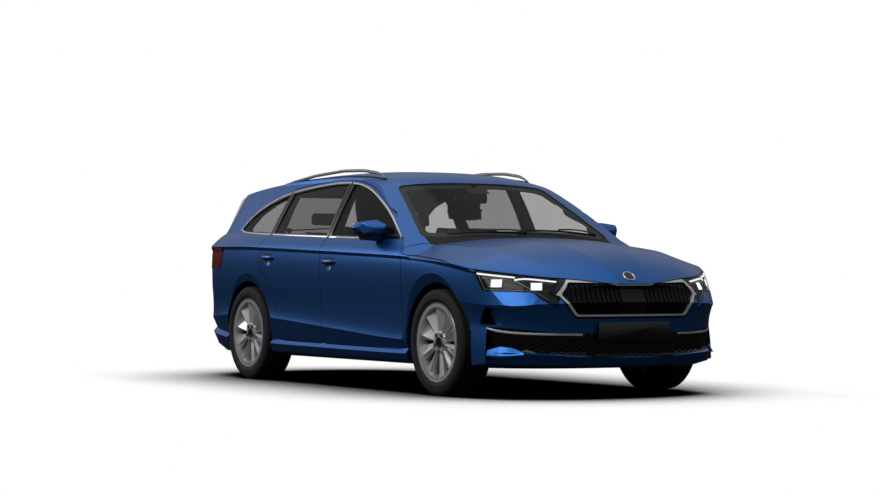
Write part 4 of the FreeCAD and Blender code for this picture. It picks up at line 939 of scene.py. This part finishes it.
# %% Hubs, discs and calipers
disc_steel = finish("disc_steel", (0.20, 0.20, 0.205), metallic=0.7, roughness=0.35, grain=30, spread=0.2, bump=0.1)
DISC = [(0.013, 0.046), (0.013, 0.138), (0.0145, 0.140), (0.0245, 0.140), (0.026, 0.138), (0.026, 0.076),
        (0.0275, 0.072), (0.0275, 0.046)]
CAP = [(0.080, 0.0), (0.080, 0.034), (0.0885, 0.034), (0.0905, 0.031), (0.0895, 0.028), (0.0915, 0.0)]
RIM_EDGE = [(0.0995, 0.2455), (0.1025, 0.2470), (0.1045, 0.2450), (0.1035, 0.2405), (0.1000, 0.2395)]
CALIPER_SIZE, CALIPER_REACH = (0.062, 0.046, 0.140), 0.150
BOLT_COUNT, BOLT_RING, BOLT_FACE = 5, 0.054, 0.087
for (where, hand), middle in wheel_middle.items():
    sign, wheel = sides[hand], f"{where}_{hand}"
    for name, line, steps, closed, slot, material in (
            ("brake_disc_", DISC, 64, True, "chassis_steel", disc_steel),
            ("wheel_cap_", CAP, 40, False, "alloy", black_gloss),
            ("rim_edge_", RIM_EDGE, 96, True, "alloy", lamp_silver)):
        bm = bmesh.new()
        spun(bm, line, sign, steps, closed)
        bmesh.ops.translate(bm, verts=bm.verts, vec=middle)
        piece(name + wheel, bm, "wheel_" + wheel, slot, material)

    bm = bmesh.new()
    block(bm, CALIPER_SIZE, 0.012, 3)
    reach = -CALIPER_REACH if where == "front" else CALIPER_REACH
    bmesh.ops.translate(bm, verts=bm.verts, vec=middle + Vector((reach, sign * 0.008, 0.02)))
    piece("caliper_" + wheel, bm, f"knuckle_{hand}" if where == "front" else "root", "chassis_steel", chassis_steel)

    bm = bmesh.new()
    for i in range(BOLT_COUNT):
        seat = bmesh.ops.create_cone(bm, segments=20, radius1=0.0125, radius2=0.0115, depth=0.004, cap_ends=True)
        head = bmesh.ops.create_cone(bm, segments=6, radius1=0.0085, radius2=0.0080, depth=0.014, cap_ends=True)
        verts = seat["verts"] + head["verts"]
        bmesh.ops.rotate(bm, verts=verts, matrix=Matrix.Rotation(-sign * math.pi / 2, 3, "X"))
        turn = Matrix.Rotation(2 * math.pi * (i + 0.5) / BOLT_COUNT, 4, "Y")
        stand = Matrix.Translation(middle) @ turn @ Matrix.Translation((0, sign * BOLT_FACE, BOLT_RING))
        bmesh.ops.transform(bm, matrix=stand, verts=verts)
    piece("wheel_bolts_" + wheel, bm, "wheel_" + wheel, "alloy", disc_steel)
print("wheels", len(wheel_middle))

# %% [markdown]
# ## Seats
# A car seat is foam under sewn cloth. Each cushion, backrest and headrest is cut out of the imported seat's solid,
# covered with an even mesh, made a little smaller and blown up as a cloth bag from inside, so that its corners round
# off and its broad faces crown. How far any point may move is capped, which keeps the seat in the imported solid's
# place. The sewn channels are pressed in afterwards. Under the pads stays a plain carrier with its rails.

# %% Seat makers
PAD_MESH, PAD_CAP, PAD_TAKE, PAD_PRESSURE = 0.016, 0.024, 0.010, 4.0


def cut_out(name, planes):
    """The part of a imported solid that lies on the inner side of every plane, closed again at the cuts."""
    bm = bmesh.new()
    bm.from_mesh(nodes[name].data)
    bmesh.ops.remove_doubles(bm, verts=bm.verts, dist=0.0001)
    for spot, outward in planes:
        parts = list(bm.verts) + list(bm.edges) + list(bm.faces)
        cut = bmesh.ops.bisect_plane(bm, geom=parts, plane_co=spot, plane_no=outward, clear_outer=True)["geom_cut"]
        edges = [part for part in cut if isinstance(part, bmesh.types.BMEdge)]
        bmesh.ops.triangle_fill(bm, edges=edges, use_beauty=True)
    bmesh.ops.recalc_face_normals(bm, faces=bm.faces)
    return bm


def start_pad(name, source, planes):
    """A pad's object with an even mesh, a little smaller than the solid that it is cut from."""
    mesh = bpy.data.meshes.new(name)
    bm = cut_out(source, planes)
    bm.to_mesh(mesh)
    bm.free()
    pad = bpy.data.objects.new(name, mesh)
    scene.collection.objects.link(pad)
    even = pad.modifiers.new("even", "REMESH")
    even.mode, even.voxel_size = "VOXEL", PAD_MESH
    smaller = pad.modifiers.new("smaller", "DISPLACE")
    smaller.strength, smaller.mid_level = -PAD_TAKE, 0
    settled(pad)
    return pad


def settled(pad):
    """Keeps the shape that the modifiers give, and takes the modifiers off."""
    shape = bpy.data.meshes.new_from_object(pad.evaluated_get(bpy.context.evaluated_depsgraph_get()))
    pad.modifiers.clear()
    pad.data = shape
    shape.name = pad.name


def blow_up(pads):
    """All the pads are blown up together; then every point is brought back to within the cap."""
    starts = {pad.name: [vert.co.copy() for vert in pad.data.vertices] for pad in pads}
    for pad in pads:
        cloth = pad.modifiers.new("foam", "CLOTH").settings
        cloth.use_pressure, cloth.uniform_pressure_force = True, PAD_PRESSURE
        cloth.effector_weights.gravity = 0
        cloth.quality = 4
    for frame_number in range(1, 21):
        scene.frame_set(frame_number)
    for pad in pads:
        settled(pad)
        for vert, start in zip(pad.data.vertices, starts[pad.name]):
            moved = vert.co - start
            if moved.length > PAD_CAP:
                vert.co = start + moved.normalized() * PAD_CAP
    scene.frame_set(1)


def channel(pad, lines, depth=0.007, reach=0.012):
    """Presses sewn channels in: each line is a plane across the seat, given by a point and its direction."""
    bm = bmesh.new()
    bm.from_mesh(pad.data)
    bmesh.ops.subdivide_edges(bm, edges=list(bm.edges), cuts=1, use_grid_fill=True, smooth=1.0)
    bm.normal_update()
    moves = []
    for vert in bm.verts:
        near = min(abs((vert.co - spot).dot(across)) for spot, across in lines)
        moves.append(vert.normal * depth * max(0.0, 1 - (near / reach) ** 2))
    for vert, move in zip(bm.verts, moves):
        vert.co -= move
    bm.to_mesh(pad.data)
    bm.free()


# %% Front seats and rear bench
PAD_FOOT, PAD_FILL = 0.425, 0.8
seats = {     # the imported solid, the middle across, half the width, then x and z of the bend and of the neck
    "front_seat_right": ("front_seats", -0.370, 0.260, (-0.040, 0.545), (-0.215, 1.110)),
    "front_seat_left": ("front_seats", 0.370, 0.260, (-0.040, 0.545), (-0.215, 1.110)),
    "rear_bench_pad": ("rear_bench", 0.0, 0.600, (-0.810, 0.570), (-0.930, 1.080)),
}
pads = []
seam_lines = {}
for name, (source, middle, half, low, high) in seats.items():
    bend, top = Vector((low[0], 0, low[1])), Vector((high[0], 0, high[1]))
    rise = (top - bend).normalized()
    face = Vector((rise.z, 0, -rise.x))
    walls = [(Vector((0, middle + half, 0)), ACROSS), (Vector((0, middle - half, 0)), -ACROSS)]
    neck = Vector((0, 0, high[1] - 0.004))
    cushion = start_pad(name + "_cushion", source, walls + [(Vector((0, 0, PAD_FOOT)), -UPWARD), (bend, -face)])
    back = start_pad(name + "_back", source, walls + [(Vector((0, 0, PAD_FOOT + 0.03)), -UPWARD), (bend, face),
                                                     (neck, UPWARD)])
    places = [middle] if half < 0.5 else [-0.370, 0.0, 0.370]
    inset = 0.150 if half < 0.5 else 0.187
    across_lines = [(Vector((0, middle + side * inset, 0)), ACROSS) for side in (-1, 1)]
    seam_lines[cushion.name] = across_lines + [(bend + face * reach, face) for reach in (0.12, 0.24)]
    seam_lines[back.name] = across_lines + [(bend + rise * reach, rise) for reach in (0.17, 0.30, 0.43)]
    pads += [cushion, back]
    for number, y in enumerate(places):
        rest = start_pad(f"{name}_headrest_{number}", source,
                         [(Vector((0, y + 0.16, 0)), ACROSS), (Vector((0, y - 0.16, 0)), -ACROSS),
                          (neck + UPWARD * 0.018, -UPWARD)])
        seam_lines[rest.name] = [(Vector((0, y + side * 0.105, 0)), ACROSS) for side in (-1, 1)]
        pads.append(rest)
blow_up(pads)
for pad in pads:
    channel(pad, seam_lines[pad.name])
    pad.data.shade_smooth()
    wear(pad, seat_cloth)
    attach(pad, "root")
for source in ("front_seats", "rear_bench"):
    bm = cut_out(source, [(Vector((0, 0, PAD_FOOT)), UPWARD)])
    bmesh.ops.bevel(bm, geom=list(bm.edges), offset=0.004, segments=2, profile=0.5, affect="EDGES", material=-1,
                    clamp_overlap=True)
    carrier = piece(source + "_carrier", bm, "root", "cabin_plastic", cabin_black)
    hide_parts(source)
print("pads", len(pads), "points", sum(len(pad.data.vertices) for pad in pads))

# %% [markdown]
# ## Roof rails
# A raised rail is one slender bar that stands clear of the roof between its two feet, with a dark slit below it. The
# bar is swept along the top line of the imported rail, a solid fin that holds the same place; its ends bend down into
# feet, and a rubber strip seals the roof under it.

# %% Rails
RAIL_WIDTH, RAIL_DEPTH, RAIL_STEPS = 0.024, 0.022, 90
roof_skin = surface_of("roof", "body_side_right", "body_side_left")
fins = surface_of("roof_rails")
low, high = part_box("roof_rails")
for hand, sign in sides.items():
    middle = sign * (high.y - 0.014)
    rail_path, strip_path = [], []
    for i in range(RAIL_STEPS + 1):
        x = high.x - 0.012 + (low.x + 0.024 - high.x) * i / RAIL_STEPS
        top = fins.ray_cast(Vector((x, middle, 2)), -UPWARD)[0]
        under = roof_skin.ray_cast(Vector((x, middle - sign * 0.004, 2)), -UPWARD)[0]
        if top and under:
            rail_path.append(Vector((x, middle, max(top.z - RAIL_DEPTH / 2, under.z - 0.002))))
            strip_path.append(Vector((x, middle, under.z + 0.001)))
    last = len(rail_path) - 1
    tall = [RAIL_DEPTH * min(1.0, 0.35 + 0.09 * min(k, last - k)) for k in range(last + 1)]
    rail = bar("rail_bar_" + hand, averaged(rail_path, 2), UPWARD, RAIL_WIDTH, tall, "root", "rail_silver",
               rail_silver, sides=12)
    if sign < 0:
        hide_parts("roof_rails")
    bar("rail_seal_" + hand, strip_path, UPWARD, 0.020, 0.006, "root", "rail_silver", rubber_black, sides=6)
print("rails", round(high.x - low.x, 3), "m long")

# %% [markdown]
# ## Tail lamps, cups and bumper corners
# The tail lamp reaches round the corner on to the side, as a red lens that lies on the panel. Behind each door
# handle the cup is in shade, and a dark shell in it is that shade painted on, to show the hollow. A painted cheek
# closes the side of the front bumper between the wheel opening and the intake, and a bright facet rises under the
# intake's end. A dark board stands behind each corner's upright slot, so that nobody looks through the car there.

# %% Side lenses, cups and corners
LENS_FRONT, LENS_REAR, LENS_LOW, LENS_HIGH, LENS_SLANT = -1.655, -2.12, 0.795, 0.944, 0.055
CUP_HALF_LENGTH, CUP_HALF_HEIGHT = 0.098, 0.036
CUP_PLACES = (("front", 0.072, 0.830), ("rear", -0.857, 0.864))
LIP_LOW = [(1.984, 0.834, 0.266), (2.062, 0.794, 0.262), (2.124, 0.744, 0.267), (2.178, 0.694, 0.272)]
LIP_HIGH = [(1.982, 0.824, 0.296), (2.046, 0.774, 0.318), (2.106, 0.722, 0.310), (2.176, 0.690, 0.282)]
CHEEK_LOW = [(1.842, 0.8500, 0.205), (1.984, 0.8375, 0.222)]
CHEEK_HIGH = [(1.842, 0.8520, 0.445), (1.976, 0.8235, 0.432)]
CORNER_SHEETS = (("lip_facet_", (30, 6), LIP_LOW, LIP_HIGH, (0, 0)),
                 ("bumper_cheek_", (12, 16), CHEEK_LOW, CHEEK_HIGH, (0.006, 0.004)))
# painted shade: the dark blue laid in each handle's cup
cup_shade = finish("cup_shade", (0.004, 0.012, 0.040), roughness=0.45, coat=0.2, grain=500, spread=0.2, bump=0.05)


def lens_point(sign, along, up):
    """A point beside the car: the lens's front and rear edges slant backwards as they rise."""
    x = LENS_FRONT - LENS_SLANT * (1 - up) ** 1.3 + (LENS_REAR - LENS_FRONT) * along
    return Vector((x, sign * 1.5, LENS_LOW + (LENS_HIGH - LENS_LOW) * up))


def cup_point(sign, x, z, along, up):
    """A point beside the door: the square sheet is drawn in to an oval round x and z."""
    a, b = along * 2 - 1, up * 2 - 1
    across, upward = a * math.sqrt(1 - b * b / 2), b * math.sqrt(1 - a * a / 2)
    return Vector((x + across * CUP_HALF_LENGTH, sign * 1.5, z + upward * CUP_HALF_HEIGHT))


def on_line(points, share):
    """The point at a share from 0 to 1 along a line with evenly counted corners."""
    place = min(max(share, 0.0), 1.0) * (len(points) - 1)
    start = min(int(place), len(points) - 2)
    return Vector(points[start]).lerp(Vector(points[start + 1]), place - start)


def corner_point(sign, low_edge, high_edge, swell, along, up):
    """A point between two lines at the bumper's corner, bowed outwards by the two parts of swell."""
    spot = on_line(low_edge, along).lerp(on_line(high_edge, along), up)
    spot.y += swell[0] * math.sin(math.pi * along) + swell[1] * math.sin(math.pi * up)
    return Vector((spot.x, sign * spot.y, spot.z))


for hand, sign in sides.items():
    inward = ACROSS * -sign
    flank = surface_of("body_side_" + hand, "tail_lamps", "rear_bumper")
    sheet("side_lens_" + hand, (44, 12), partial(lens_point, sign), 0.004, "root", "lamp_red", lamp_red,
          (flank, inward, 0.004))
    for where, x, z in CUP_PLACES:
        door = f"door_{where}_{hand}"
        # painted shade: a dark shell laid in each handle's cup
        sheet(f"handle_cup_{where}_{hand}", (28, 14), partial(cup_point, sign, x, z), 0.001, door, "body_paint",
              cup_shade, (surface_of(door), inward, 0.0015))
    arm_skin = surface_of("door_front_" + hand, "window_front_" + hand, "body_side_" + hand)
    starts = [Vector((0.66 + 0.27 * k / 24, sign * 2, 0.990 - 0.004 * k / 24)) for k in range(25)]
    bar("mirror_arm_" + hand, [arm_skin.ray_cast(start, inward)[0] for start in starts], Vector((0, sign, 0.35)),
        0.034, 0.016, "door_front_" + hand, "grille_black", black_gloss)
    for name, segments, *edges_and_swell in CORNER_SHEETS:
        sheet(name + hand, segments, partial(corner_point, sign, *edges_and_swell), 0.004, "root", "body_paint", paint)
    bm = bmesh.new()
    bmesh.ops.create_cube(bm, size=1.0)
    bmesh.ops.scale(bm, vec=(0.22, 0.006, 0.22), verts=bm.verts)
    bmesh.ops.translate(bm, vec=(1.985, sign * 0.67, 0.51), verts=bm.verts)
    piece("slot_back_" + hand, bm, "root", "grille_black", black_gloss)
print("lens", round(LENS_FRONT - LENS_REAR, 3), "m along the side")

# %% [markdown]
# ## The rear and the mirrors
# On the tailgate the lamps go on towards the plate, the bumper's foot is black with two red reflectors, and a short
# wiper rests along the rear window. The mirrors get their glass as a thin sheet, and their caps are rounded.

# %% Rear sheets and mirror glass


def rear_sheet(name, tree, middle, size, segments, body, slot, material, thick=0.004):
    """A sheet that faces backwards, with its middle at (y, z), pushed forwards on to the rear of a panel."""
    bm = bmesh.new()
    verts = bmesh.ops.create_grid(bm, x_segments=segments[0], y_segments=segments[1], size=0.5)["verts"]
    bmesh.ops.scale(bm, verts=verts, vec=(*size, 1))
    bmesh.ops.transform(bm, matrix=Matrix.Translation((-2.2, *middle)) @ upright, verts=verts)
    lay(verts, tree, FORWARD, thick)
    bmesh.ops.solidify(bm, geom=list(bm.faces), thickness=thick)
    piece(name, bm, body, slot, material)


gate_skin, bumper_skin, gate_glass = (surface_of(name) for name in ("tailgate", "rear_bumper", "tailgate_window"))
mirror_silver = finish("mirror_silver", (0.75, 0.77, 0.80), metallic=1.0, roughness=0.04, grain=20, spread=0.02,
                       bump=0.0)
rear_sheet("rear_valance", bumper_skin, (0, 0.265), (1.02, 0.090), (48, 8), "root", "grille_black", underbody_black)
for hand, sign in sides.items():
    rear_sheet("gate_lens_" + hand, gate_skin, (sign * 0.505, 0.868), (0.190, 0.148), (14, 10), "tailgate",
               "lamp_red", lamp_red)
    rear_sheet("reflector_" + hand, bumper_skin, (sign * 0.640, 0.345), (0.150, 0.024), (12, 3), "root",
               "lamp_red", lamp_red)
    rear_sheet("mirror_glass_" + hand, surface_of("mirror_" + hand), (sign * 0.915, 1.048), (0.160, 0.076), (10, 6),
               "door_front_" + hand, "bright_trim", mirror_silver, thick=0.002)
print("rear sheets on", len(sides), "sides")

# %% Mirror caps and rear wiper
MIRROR_MESH, MIRROR_ROUNDS = 0.005, 14
for hand in sides:
    cap = piece("mirror_cap_" + hand, cut_out("mirror_" + hand, []), "door_front_" + hand, "body_paint", mirror_paint)
    even = cap.modifiers.new("even", "REMESH")
    even.mode, even.voxel_size = "VOXEL", MIRROR_MESH
    rounder = cap.modifiers.new("rounder", "SMOOTH")
    rounder.factor, rounder.iterations = 0.5, MIRROR_ROUNDS
    settled(cap)
    cap.data.shade_smooth()
    wear(cap, mirror_paint)
    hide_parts("mirror_" + hand)

starts = [Vector((-3, -0.02 + 0.34 * k / 20, 1.086 + 0.020 * k / 20)) for k in range(21)]
blade = [gate_glass.ray_cast(start, FORWARD)[0] for start in starts]
bm = bmesh.new()
sweep(bm, [spot + REARWARD * 0.012 for spot in blade], REARWARD, 0.012, 0.014, sides=6)
hub = bmesh.ops.create_cone(bm, segments=20, radius1=0.022, radius2=0.018, depth=0.030, cap_ends=True)["verts"]
bmesh.ops.rotate(bm, verts=hub, matrix=Matrix.Rotation(math.pi / 2, 3, "Y"))
bmesh.ops.translate(bm, verts=hub, vec=blade[0] + REARWARD * 0.010)
piece("rear_wiper", bm, "tailgate", "grille_black", rubber_black)
print("rear wiper", round((blade[-1] - blade[0]).length, 3), "m long")
